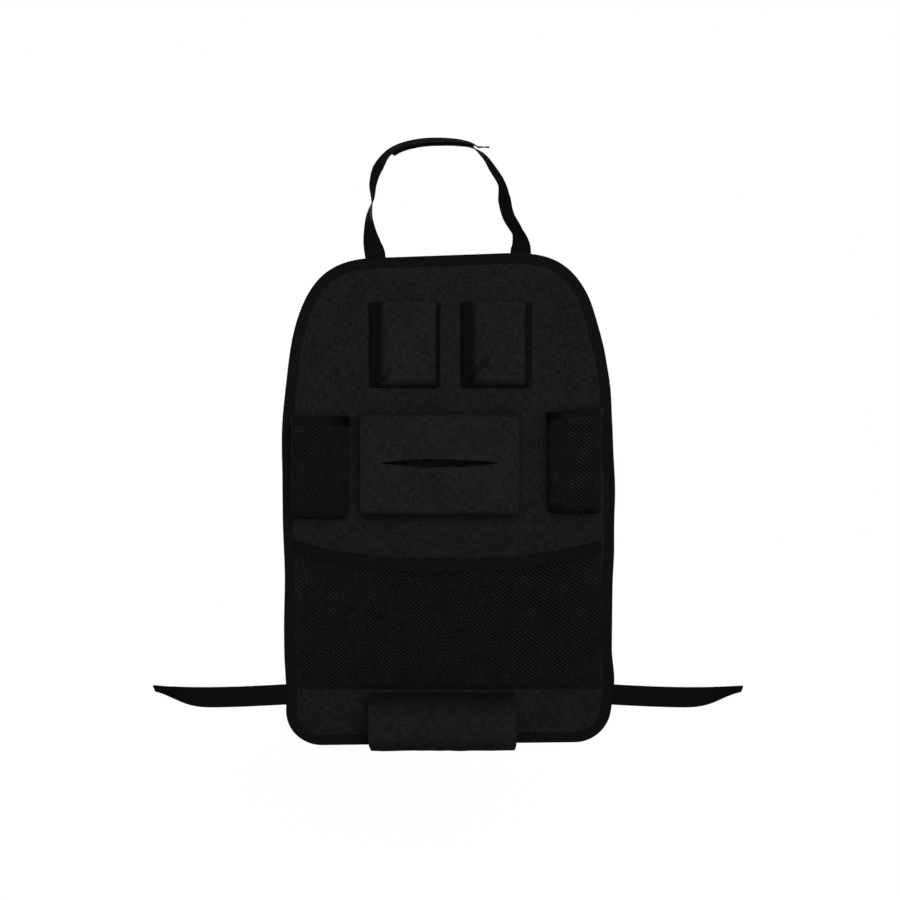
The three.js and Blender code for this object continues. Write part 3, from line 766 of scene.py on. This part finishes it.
def handle_frames(start, end, lift, per_step=4):
    """The webbing's centre line, and the ways across it and out of its face, between two
    steps. There are three steps from each station to the next."""
    step = np.linspace(start, end, (end - start) * per_step + 1)
    share = step / 3 / (len(stations) - 1)
    centre = through(stations[:, :2], share)
    small = 1e-4
    way = unit(through(stations[:, :2], share + small) - through(stations[:, :2], share - small))
    turn = np.radians(np.interp(step / 3, np.arange(len(stations)), stations[:, 2]))
    forward = np.stack([way[:, 0], np.zeros(len(way)), way[:, 1]], 1)
    across = np.stack([way[:, 1] * np.cos(turn), np.sin(turn), -way[:, 0] * np.cos(turn)], 1)
    normal = np.cross(forward, across)
    middle = np.stack([centre[:, 0], np.full(len(step), strap_level), centre[:, 1]], 1)
    return middle + normal * lift(step)[:, None], across, normal


def strap(name, node, frames, wide, thick, finish, slot):
    """Flat webbing or tape along its frames, with round edges."""
    middle, across, _ = frames
    offset = places(wide, 2.2 * mm) - wide / 2
    grid = middle[:, None] + across[:, None] * offset[:, None]
    piece = cloth_piece(name, grid, rounded_half(offset, thick), arc_uv(grid), finish)
    seat(piece, slot, node)


def webbing_weave(u, v, body):
    """Rows of thick flat yarns, each column half a yarn on from the last."""
    weave = yarns(u, v, 1.6, 1.05) * 0.5 + 0.5
    cords = (u * (1 / 1.6)).ridge()
    grain = uneven(u, v, 0.7, 0.3, 6.0)
    return weave * 0.55 + cords * 0.45, weave * 0.35 + grain * 0.8 - 0.1


def hook_pile(u, v, body):
    """Short stiff hooks in close rows."""
    rows = yarns(u, v, 0.55, 0.65)
    return rows.math("MAXIMUM", 0.0), rows * 0.3 + 0.4


def loop_pile(u, v, body):
    """A brushed pile of fine loops."""
    pile = cloudy(body, 900.0, 3.0)
    return pile, pile * 1.2 - 0.1


webbing = fabric("webbing", (0.0042, 0.0042, 0.0043), 0.75, webbing_weave, 0.25 * mm, 0.01)
hook_tape = fabric("hook_tape", (0.0035, 0.0035, 0.0036), 0.75, hook_pile, 0.3 * mm)
loop_tape = fabric("loop_tape", (0.0042, 0.0042, 0.0043), 0.95, loop_pile, 0.3 * mm)
cut_webbing = (webbing_wide, webbing_thick, webbing, "webbing")
cut_tape = {kind: (fastener_wide, fastener_thick, finish, "hook_and_loop")
            for kind, finish in (("hook", hook_tape), ("loop", loop_tape))}

overlap = (25, 40)
overlap_ramp = 4
tape_steps = (27, 39)
strap_tip_long = 14 * mm
strap_tip_turn = math.radians(101)
last_step = 3 * (len(stations) - 1)
strap_lift = webbing_thick / 2 + fastener_thick + 1.5 * seam_gap
tape_lift = (fastener_thick + seam_gap) / 2

left_frames = handle_frames(0, overlap[1], lambda step: (
    strap_lift * smooth_step(step, overlap[0] - overlap_ramp, overlap[0])))
right_frames = handle_frames(overlap[0], last_step, lambda step: (
    -strap_lift * (1 - smooth_step(step, overlap[1], overlap[1] + overlap_ramp))))
tip = np.linspace(0, 1, 8)[1:, None]
tip_across = np.array([0, math.sin(strap_tip_turn), -math.cos(strap_tip_turn)])
tip_middle = left_frames[0][-1] + tip * [strap_tip_long, 0, 0]
tip_turned = left_frames[1][-1] * (1 - tip) + tip_across * tip
tip_frames = (tip_middle, tip_turned, np.cross([1.0, 0, 0], tip_turned))
left_frames = [np.concatenate(pair) for pair in zip(left_frames, tip_frames)]
strap("left_loop_webbing", "left_handle_strap", left_frames, *cut_webbing)
strap("right_loop_webbing", "right_handle_strap", right_frames, *cut_webbing)
for kind, face in (("loop", 1), ("hook", -1)):
    strap(f"{kind}_tape_of_headrest_loop", f"handle_{kind}_tape",
          handle_frames(*tape_steps, lambda step: face * tape_lift + 0 * step), *cut_tape[kind])

tail_box = 18 * mm
strap_face = strap_level + webbing_thick / 2 + 0.08 * mm
outer_level = tape_lift + fastener_thick / 2 + seam_gap + webbing_thick + 0.12 * mm


def box_lines(centre_x, top):
    """A box with a cross in it, sewn through the end of a strap on the back of the panel."""
    left, right, foot = centre_x - tail_box / 2, centre_x + tail_box / 2, top - tail_box
    corners = [(left, top), (right, top), (right, foot), (left, foot), (left, top)]
    lines = [corners, [(left, top), (right, foot)], [(right, top), (left, foot)]]
    return [on_panel(np.array(line), -strap_face) for line in lines]


def tape_seam(frames, level):
    """A sewn rectangle round a tape, on a face of the strap that carries it."""
    middle, across, normal = frames
    left, right = (middle + across * s * (fastener_wide / 2 - 1.5 * mm) + normal * level
                   for s in (-1, 1))
    return closed(np.concatenate([left[2:-2], right[2:-2][::-1]]))


tape_frames = handle_frames(*tape_steps, lambda step: 0 * step)
sewn("headrest_loop_stitches", [
    *box_lines(-handle_wide / 2, root_heights[0] - 6 * mm),
    *box_lines(handle_wide / 2, root_heights[1] - 6 * mm),
    tape_seam(tape_frames, outer_level),
    tape_seam(tape_frames, -outer_level),
], "webbing")


# Side straps. Two short lengths of the same webbing that tie the foot of the panel round the
# seat, with a hook tape on the end of the left one and a loop tape on the right one.
side_strap_long = 161 * mm
side_strap_rise = 49 * mm
side_strap_turn = math.radians(70)
side_strap_sag = 3.5 * mm
side_turn = (0.53, 1.05)
side_fastener_share = 15 / 48
side_strap_top = panel_foot + side_strap_rise + webbing_wide
side_tape_lift = (webbing_thick + fastener_thick) / 2 + 2 * seam_gap


def half_width_at(height):
    right = cut_outline[cut_outline[:, 0] > 0]
    right = right[np.argsort(right[:, 1])]
    return np.interp(height, right[:, 1], right[:, 0])


side_strap_root = half_width_at(side_strap_top - webbing_wide / 2)


def side_frames(sign, share, lift):
    """The frames of a side strap, which hangs a little and turns about its upper edge."""
    sag = side_strap_sag * np.sin(0.8 * math.pi * np.maximum(share, 0))
    turn = side_strap_turn * smooth_step(share, *side_turn)
    across = np.stack([0 * share, np.sin(turn), -np.cos(turn)], 1)
    edge = np.stack([sign * (side_strap_root + share * side_strap_long),
                     strap_level + 0 * share, side_strap_top - sag], 1)
    normal = np.cross([float(sign), 0, 0], across)
    return edge + across * webbing_wide / 2 + normal * lift, across, normal


free = np.linspace(-strap_tail / side_strap_long, 1, 120)
ending = np.linspace(1 - side_fastener_share, 1, 40)
for side, sign, kind in (("left", -1, "hook"), ("right", 1, "loop")):
    strap(f"{side}_side_webbing", f"{side}_side_strap", side_frames(sign, free, 0), *cut_webbing)
    strap(f"{kind}_tape_of_side_strap", f"side_{kind}_tape",
          side_frames(sign, ending, -side_tape_lift), *cut_tape[kind])
    sewn(f"{side}_side_strap_stitches", [
        *box_lines(sign * (side_strap_root - 2 * mm - tail_box / 2), side_strap_top - 3.5 * mm),
        tape_seam(side_frames(sign, ending, 0), webbing_thick / 2 + 0.1 * mm),
    ], "webbing")


# Phone pockets. Each is one woven polyester cloth with a hemmed mouth, folded in a pleat down
# its left side and tucked under at its right, and sewn to the panel at both sides and the foot.
pocket_thick = 1 * mm
cloth_seat = face_level + seam_gap + pocket_thick / 2
phone_pocket_wide = 86 * mm
hem_stitch_share = 0.098
phone_pocket_deep = 17 * mm
hem_wide = 11 * mm
hem_swell = 0.55 * mm


def rounded_in(share, foot_share):
    """How far a pocket stands out at a share of its height, round in to its foot seam."""
    return np.sqrt(1 - (1 - np.minimum(share / foot_share, 1)) ** 2)


def smoothed(line, times):
    """An open line with its corners rounded off."""
    for _ in range(times):
        line[1:-1] = (line[:-2] + 2 * line[1:-1] + line[2:]) / 4
    return line


def hemmed(distance, wide=hem_wide, swell=hem_swell):
    """Extra thickness of a hem at a distance from its fold, with a dip at its stitches."""
    dip = 0.35 * swell * np.exp(-((distance - wide + 2 * mm) / (0.8 * mm)) ** 2)
    return swell * (1 - smooth_step(distance, wide - 0.6 * mm, wide + 0.6 * mm)) - dip


def nearest(values, place):
    """The number of the value that is nearest to a place."""
    return int(np.argmin(np.abs(values - place)))


def row_on(grid, share, lift):
    """A line along a grid's rows at a share of its height from the foot, lifted off it."""
    place = share * (len(grid) - 1)
    low = int(np.clip(math.floor(place), 0, len(grid) - 2))
    line = grid[low] + (grid[low + 1] - grid[low]) * (place - low)
    return line + grid_normals(grid)[low] * lift


def panel_seam(x, height):
    """A line over the seam between a cloth and the panel, at one height."""
    return np.stack([x, -cloth_seat - 1.2 * mm + 0 * x, height + 0 * x], 1)


def pocket_piece(name, grid, extra, node, kept=None):
    """A pocket's cloth over a grid of points, thicker by extra to its front. Returns it with
    its uv and with the grid a little in front of it, for its stitches."""
    normal = grid_normals(grid)
    uv = arc_uv(grid)
    piece = cloth_mesh(name, grid + normal * (pocket_thick / 2 + extra)[..., None],
                       grid - normal * pocket_thick / 2, uv, pocket_cloth, kept=kept)
    seat(piece, "face_cloth", node)
    return piece, uv, grid + normal * (pocket_thick / 2 + 0.35 * mm)


def phone_pocket(side, left, tuck, *folds):
    """A phone pocket from its section, each point a place from its left and a way out."""
    name = f"{side}_phone_pocket_cloth"
    front_end = phone_pocket_wide - tuck
    section = [(0, 0), (3.2, 4.4), (7.0, 8.0), (8.4, 7.7), (9.2, 8.8), (13.4, 12.9)]
    section = [(x * mm, y * mm) for x, y in section]
    section += [(17 * mm + s * (front_end - 17 * mm),
                 phone_pocket_deep + 3 * mm * math.sin(math.pi * s)) for s in np.linspace(0, 1, 9)]
    section += [(front_end + 0.45 * tuck, 0.42 * phone_pocket_deep), (phone_pocket_wide, 0)]
    line = smoothed(resampled(np.array(section), 1.3 * mm), 2)
    height = places(phone_pocket_high, 2 * mm, 0.4 * mm) / phone_pocket_high
    height = np.unique(np.concatenate([height, 1 - np.linspace(9, 12, 7) * mm / phone_pocket_high]))
    x = left + np.broadcast_to(line[:, 0], (len(height), len(line)))
    z = phone_foot + height[:, None] * phone_pocket_high + 0 * x
    out = line[:, 1] * rounded_in(height, 0.14)[:, None]
    wave = 0.8 * mm * soft_noise(x, z, 34 * mm, left * 90) + creases(x, z, *folds)
    out = out + smooth_step(out, 2 * mm, 9 * mm) * wave
    grid = np.stack([x, -cloth_seat - out, z], 2)
    extra = hemmed((1 - height[:, None]) * phone_pocket_high)
    pocket, uv, _ = pocket_piece(name, grid, extra, f"{side}_phone_pocket")
    # Painted shade: the pleat down the left side and the tucked-under right side are painted darker
    # and more even, where shade falls
    pleat_shade = (0.8 * (1 - smooth_step(x - left, 11 * mm, 23 * mm))
                + 0.5 * smooth_step(x - left, front_end - 1 * mm, front_end + 2 * mm))
    layer = pocket.data.attributes.new("painted_pleat_shade", "FLOAT", "POINT")
    layer.data.foreach_set("value", np.tile(pleat_shade.ravel(), 2).astype(np.float32))
    mouth = row_on(grid, 1 - hem_stitch_share, pocket_thick / 2 + 0.25 * mm)
    sides = [grid[2:-2, k] + [0.9 * s * mm, -0.75 * mm, 0] for k, s in ((1, 1), (-2, -1))]
    sewn(f"{name}_stitches", [mouth[3:-3], *sides, grid[1, 2:-2] + [0, -0.8 * mm, 0.5 * mm]],
         "face_cloth")


phone_pocket("left", phone_sides[0], 5.5 * mm, (-90, 141, -76, 153, 2.2, 3.8),
             (-79, 140, -71, 158, 2.9, -6.5), (-62, 168, -84, 196, 6, -2),
             (-18, 150, -26, 166, 3, -2.2))
phone_pocket("right", phone_sides[2], 9 * mm, (22, 144, 50, 174, 2.7, -7),
             (27, 139, 57, 169, 3, 2), (30, 222, 36, 172, 5, -2), (84, 152, 60, 148, 3.5, -1.8))


# Tissue band. One cloth, open at both sides, sewn to the panel along its top and its foot,
# with a long slit in its front through which the tissues are pulled.
band_deep = 46 * mm
band_corner = 8 * mm
slit_long = 140 * mm
slit_open = 9 * mm
slit_drop = 59 * mm
side_hem = 9 * mm

run = np.linspace(0, band_deep - band_corner, 18)
upper = np.concatenate([
    np.stack([run, 0 * run], 1),
    arc((band_deep - band_corner, -band_corner), band_corner, math.pi / 2, 0, 9)[1:]])
lip = 0.35 * mm
down_to_slit = np.linspace(band_corner, slit_drop - lip, 26)[1:]
down_from_slit = np.linspace(slit_drop + lip, band_high - band_corner, 26)[:-1]
front_rows = np.concatenate([down_to_slit, down_from_slit])
bow = 1 * mm * np.sin(math.pi * front_rows / band_high)
section = np.concatenate([
    upper, np.stack([band_deep + bow, -front_rows], 1),
    np.stack([upper[::-1, 0], -band_high - upper[::-1, 1]], 1)])
upper_lip = len(upper) + len(down_to_slit) - 1
across = places(band_wide, 2.5 * mm) - band_wide / 2
across = np.unique(np.concatenate([across, slit_long / 2 * np.array([-1, 1])]))
share = across / (slit_long / 2)
lens = np.maximum(1 - share ** 2, 0)
side_of_slit = np.where(np.arange(len(section)) <= upper_lip, 1, -1)[:, None]
out, down = section.T[..., None]
on_front = smooth_step(out, band_deep - band_corner, band_deep)
fade = np.exp(-np.abs(down + slit_drop) / (17 * mm)) * on_front
x = band_x + across + 0 * out
lip_wave = 1.6 * mm * soft_noise(x, side_of_slit + 0 * x, 24 * mm, 5.5)
z = band_top + down + fade * lens * (side_of_slit * slit_open / 2 + lip_wave)
loose = smooth_step(out, 6 * mm, 30 * mm)
front_wave = 0.9 * mm * soft_noise(x, z, 46 * mm, 2.5) + 0.35 * mm * soft_noise(x, z, 15 * mm, 6.5)
front_wave = front_wave + creases(
    x, z, (-52, 28, -14, 12, 7, -4.4), (-60, 36, 10, 31, 4, 2.4), (-100, 60, -70, 4, 8, 0.8))
top_wave = (1 - on_front) * loose * 0.7 * mm * soft_noise(x, out + 0 * x, 30 * mm, 3.5)
grid = np.stack([x, -cloth_seat - out - on_front * front_wave, z + top_wave], 2)
near_slit = (1 - smooth_step(np.abs(share), 0.97, 1.04)) * on_front
extra = np.maximum(hemmed(band_wide / 2 - np.abs(across), side_hem),
                   hemmed(np.abs(down + slit_drop), 6 * mm) * near_slit)
kept = np.ones((len(section) - 1, len(across) - 1), bool)
kept[upper_lip] = (share[:-1] + share[1:]) ** 2 / 4 > 1
band, _, lifted = pocket_piece("tissue_band_cloth", grid, extra, "tissue_band", kept)
inside_slit = np.abs(share) < 0.96
sewn("tissue_band_stitches", [
    *[lifted[2:-2, nearest(across, s * (band_wide / 2 - side_hem + 2 * mm))] for s in (-1, 1)],
    *[lifted[nearest(down[:, 0] + slit_drop, s * 4 * mm), inside_slit] for s in (-1, 1)],
    *[panel_seam(band_x + across, z) for z in (band_top + 0.75 * mm, band_foot - 0.75 * mm)],
], "face_cloth")


# Bottle sleeve. A cloth loop along the foot, sewn to the panel along its top and its foot,
# open and hemmed at both ends, that hangs a little past the binding.
sleeve_high = 67 * mm
sleeve_deep = 66 * mm
sleeve_overhang = 3.5 * mm


def fuller(value):
    """A sine or cosine that makes a half-round section fuller."""
    return np.sign(value) * np.abs(value) ** 0.8


angle = math.pi * (np.linspace(0, 1, 400) - 0.5)
forward = sleeve_deep * fuller(np.cos(angle))
fall = sleeve_high * (1 + fuller(np.sin(angle))) / 2
raised = sleeve_overhang + sleeve_foot_seam
hang = smooth_step(forward, 0, sleeve_deep / 2)
section = np.stack([forward, fall - raised * fall / sleeve_high * (1 - hang)], 1)
out, down = resampled(section, 2 * mm).T[..., None]
across = places(sleeve_long, 2.5 * mm) - sleeve_long / 2
drawn = smooth_step(down, sleeve_high - 14 * mm, sleeve_high + 3 * mm)
x = (sleeve_x + across) * (1 - 0.035 * drawn)
way = 0.16 * np.linspace(0, 1, len(out))[:, None] + 0 * x
loose = smooth_step(out, 4 * mm, 24 * mm)
pulled = 1.0 * mm * soft_noise(x, way, 38 * mm, 1.5) + 0.4 * mm * soft_noise(x, way, 13 * mm, 8.5)
pulled = pulled + creases(x, way, (-36, 55, 6, 75, 5, 1.2), (-80, 50, -70, 100, 6, -1))
grid = np.stack([x, -cloth_seat - out + 0 * x, sleeve_top - down + 0 * x], 2)
grid = grid + grid_normals(grid) * (loose * (pulled - 0.3 * mm))[..., None]
extra = hemmed(sleeve_long / 2 - np.abs(across), 10 * mm)[None]
sleeve, uv, lifted = pocket_piece("bottle_sleeve_cloth", grid, extra, "bottle_sleeve")
sewn("bottle_sleeve_stitches", [
    *[lifted[2:-2, nearest(across, s * (sleeve_long / 2 - 8 * mm))] for s in (-1, 1)],
    panel_seam(sleeve_x + across, sleeve_top + 0.75 * mm),
], "face_cloth")


# Nets. Knitted polyester netting with six-sided openings, gathered into a bottom seam, with a
# tape folded over the mouth: elastic on the two bottle nets, ribbed on the large one.
net_column = 3.1 * mm
net_row = 4.7 * mm
strand_wide = 1.4 * mm
strand_thick = 0.6 * mm
corner_out = 2.3 / 3.1
corner_in = 0.8 / 3.1
trim_cloth = 0.7 * mm
net_thick = 1.2 * mm
net_reach = net_thick / 2 + seam_gap + trim_cloth
net_seat = face_level + seam_gap + net_reach


def yarn(u, v, body):
    """Knitted yarn with a painted glint: the strands that lean to one side are painted lighter, as
    if they caught the light. The mesh's attribute knit gives the column and the row of the knit at
    each place."""
    knit = body.node("ShaderNodeAttribute", settings={"attribute_name": "knit"}, output="Vector")
    column, row = (body.node("ShaderNodeSeparateXYZ", {0: knit}, output=axis).math("FLOOR")
                   for axis in ("X", "Y"))
    # Painted glint: every other strand, by column and row, is painted lighter
    lean = (column + row).math("FLOORED_MODULO", 2.0)
    grain = cloudy(body, 1400.0)
    tone = lean * 0.75 + grain * 0.5 + cloudy(body, 60.0) * 0.7 - 0.5
    return grain, tone.clamped()


netting = fabric("netting", (0.0108, 0.0108, 0.0124), 0.75, yarn, 0.12 * mm, swing=0.85)


def net_tree():
    strand, finish, wide, thick = growing_tree("netting", "Width", "Thickness")
    strand = strand.node("GeometryNodeMeshToCurve", {0: strand})
    normal = strand.node("GeometryNodeInputNamedAttribute", {"Name": "cloth_normal"},
                         {"data_type": "FLOAT_VECTOR"})
    strand = strand.node("GeometryNodeSetCurveNormal", {0: strand, "Normal": normal},
                         {"mode": "FREE"})
    ring = strand.node("GeometryNodeCurvePrimitiveCircle", {"Resolution": 4, "Radius": 0.5})
    size = strand.node("ShaderNodeCombineXYZ", {0: thick, 1: wide, 2: 1.0})
    ring = strand.node("GeometryNodeTransform", {0: ring, "Scale": size})
    mesh = strand.node("GeometryNodeCurveToMesh", {0: strand, 1: ring, "Fill Caps": True})
    return grown_tree(mesh, finish)


strands = net_tree()


def net_lines(wide, high):
    """The knitted lattice, and the pairs of points that it joins. Each point is a share
    across, a share up, and its column and its row in the knit."""
    columns = 2 * round(wide / net_column / 2)
    steps = 2 * round(high / net_row)
    c, k = np.meshgrid(np.arange(-1, columns + 1), np.arange(steps + 1), indexing="ij")
    corner = np.where((c + k) % 2 == 0, corner_out, corner_in)
    chain = np.stack([np.clip((c + corner) / columns, 0, 1), k / steps, c + corner + 1, k], -1)
    number = np.arange(chain.shape[0] * chain.shape[1]).reshape(chain.shape[:2])
    runs = np.stack([number[:, :-1].ravel(), number[:, 1:].ravel()], 1)
    flat = chain.reshape(-1, 4)
    linked = np.nonzero(((c[1:] + k[1:]) % 2 == 1).ravel())[0]
    ends = np.stack([number[:-1].ravel()[linked], number[1:].ravel()[linked]], 1)
    points = np.concatenate([flat, flat[ends[:, 0]], flat[ends[:, 1]]])
    first = len(flat) + np.arange(len(ends))
    links = np.stack([first, first + len(ends)], 1)
    return points, np.concatenate([runs, links])


def net_piece(name, surface, wide, high, node):
    """Netting over a surface, which gives a point for a share across and a share up."""
    lattice, edges = net_lines(wide, high)
    shares, knit = lattice[:, :2], lattice[:, 2:]
    u, v = shares[:, 0] * wide, shares[:, 1] * high
    shake = np.stack([soft_noise(u, v, 9 * mm, wide * 99 + seed) for seed in (0, 7.5)], 1)
    inner = (shares[:, 1] > 0.01) & (shares[:, 1] < 0.99)
    shares = np.clip(shares + shake * inner[:, None] * 0.55 * mm / np.array([wide, high]), 0, 1)
    a, b = shares[:, 0], shares[:, 1]
    d = 0.004
    points = surface(a, b)
    across = surface(np.minimum(a + d, 1), b) - surface(np.maximum(a - d, 0), b)
    upwards = surface(a, np.minimum(b + d, 1)) - surface(a, np.maximum(b - d, 0))
    normal = unit(np.cross(across, upwards))
    mesh = bpy.data.meshes.new(name)
    mesh.from_pydata(points.tolist(), edges.tolist(), [])
    for label, vectors in (("cloth_normal", normal), ("knit", np.insert(knit, 2, 0, axis=1))):
        layer = mesh.attributes.new(label, "FLOAT_VECTOR", "POINT")
        layer.data.foreach_set("vector", vectors.astype(np.float32).ravel())
    net = grown_piece(name, mesh, strands, {
        "Finish": netting, "Width": strand_wide, "Thickness": strand_thick})
    seat(net, "netting", node)
    runs = np.linalg.norm(points[edges[:, 0]] - points[edges[:, 1]], axis=1).sum()
    foot = surface(np.linspace(0.01, 0.99, 160), np.zeros(160)) - [0, 0.8 * mm, 0]
    sewn(f"{name}_foot_stitches", [foot], "netting")


def mouth_trim(name, surface, wide, high, flap, ripple, node):
    """A tape folded over the mouth of a net, with its stitches."""
    share = np.linspace(0, 1, round(wide / (1.5 * mm)))
    mouth = surface(share, np.ones(len(share)))
    down = unit(surface(share, np.full(len(share), 1 - flap / high)) - mouth)
    normal = unit(np.cross(np.gradient(mouth, axis=0), -down))
    inwards, aside, profile_way = folded_profile(flap, net_thick + 2 * seam_gap, trim_cloth, 5)
    waves = line_noise(share * wide, 4.2 * mm, 2.5, 4.5)
    edge = np.minimum(1, np.minimum(share, 1 - share) * 12)
    columns = []
    for inset, side in zip(inwards, aside):
        swell = ripple * waves * edge * smooth_step(inset, 0.5 * mm, 3 * mm)
        outwards = side + np.sign(side) * np.maximum(swell, -0.1 * mm)
        columns.append(mouth + down * (inset - 0.8 * mm) + normal * outwards[:, None])
    folded_tape(name, columns, share * wide, profile_way, trim_cloth, node)
    level = net_thick / 2 + seam_gap + trim_cloth + ripple + 0.1 * mm
    line = mouth + down * (flap - 2.6 * mm) + normal * level
    sewn(f"{name}_stitches", [line[2:-2]], "binding_tape")


bottle_net_wide = 66 * mm
bottle_net_deep = 64 * mm
bottle_net_round = 14 * mm


def bottle_net(side, sign, foot, lean, tilt, flap):
    """A half-round net and its elastic, with its foot at a height and a tilt of its mouth."""
    middle = sign * (half_width_at(foot) - rim_wide - bottle_net_wide / 2 - net_reach)
    turn = math.pi * (1 - np.linspace(0, 1, 600))
    way = way_along(np.stack([bottle_net_wide / 2 * fuller(np.cos(turn)),
                              bottle_net_deep * fuller(np.sin(turn))], 1))

    def surface(a, b):
        t = np.interp(a * way[-1], way, turn)
        close = rounded_in(b, bottle_net_round / bottle_net_high)
        forward = fuller(np.sin(t)) * close
        x = bottle_net_wide / 2 * fuller(np.cos(t)) * (0.8 + 0.2 * close) + sign * lean * forward
        sag = 0.9 * mm * np.sin(math.pi * b) * np.sin(math.pi * a) * np.sin(9 * a + 4 * b + sign)
        high = bottle_net_high + tilt * x / bottle_net_wide
        y = -net_seat - bottle_net_deep * forward - sag
        return np.stack([middle + x, y, foot + high * b], 1)

    net_piece(f"{side}_bottle_netting", surface, way[-1], bottle_net_high, f"{side}_bottle_net")
    mouth_trim(f"{side}_mouth_elastic", surface, way[-1], bottle_net_high, flap, 0.45 * mm,
               f"{side}_net_elastic")


bottle_net("left", -1, net_foots[0], 7 * mm, 0, 11 * mm)
bottle_net("right", 1, net_foots[1], 0, 5 * mm, 9 * mm)

large_net_deep = 30 * mm
large_net_high = 158 * mm
large_net_sag = 22 * mm
table_z = np.linspace(large_net_foot - 5 * mm,
                      large_net_foot + large_net_high + large_net_sag + 5 * mm, 400)
table_width = half_width_at(table_z)


def large_net_surface(a, b):
    side = 2 * a - 1
    z = large_net_foot + b * (large_net_high + large_net_sag * np.abs(side) ** 2.5)
    forward = large_net_deep * (1 - np.abs(side) ** 3) * rounded_in(b, 0.3) * (1 - 0.2 * b)
    x = side * (np.interp(z, table_z, table_width) - rim_wide - net_reach)
    inside = 1 - np.abs(side) ** 6
    crease = creases(x, z, (-186, -75, -140, -228, 11, 3.2), (-168, -70, -122, -226, 12, -2.4),
                     (186, -90, 150, -226, 13, 1.6))
    return np.stack([x, -net_seat - forward - inside * crease, z], 1)


large_wide = 2 * (half_wide - rim_wide)
net_piece("large_netting", large_net_surface, large_wide, large_net_high, "large_net")
mouth_trim("large_net_mouth_tape", large_net_surface, large_wide, large_net_high, 15 * mm,
           0.1 * mm, "large_net_tape")
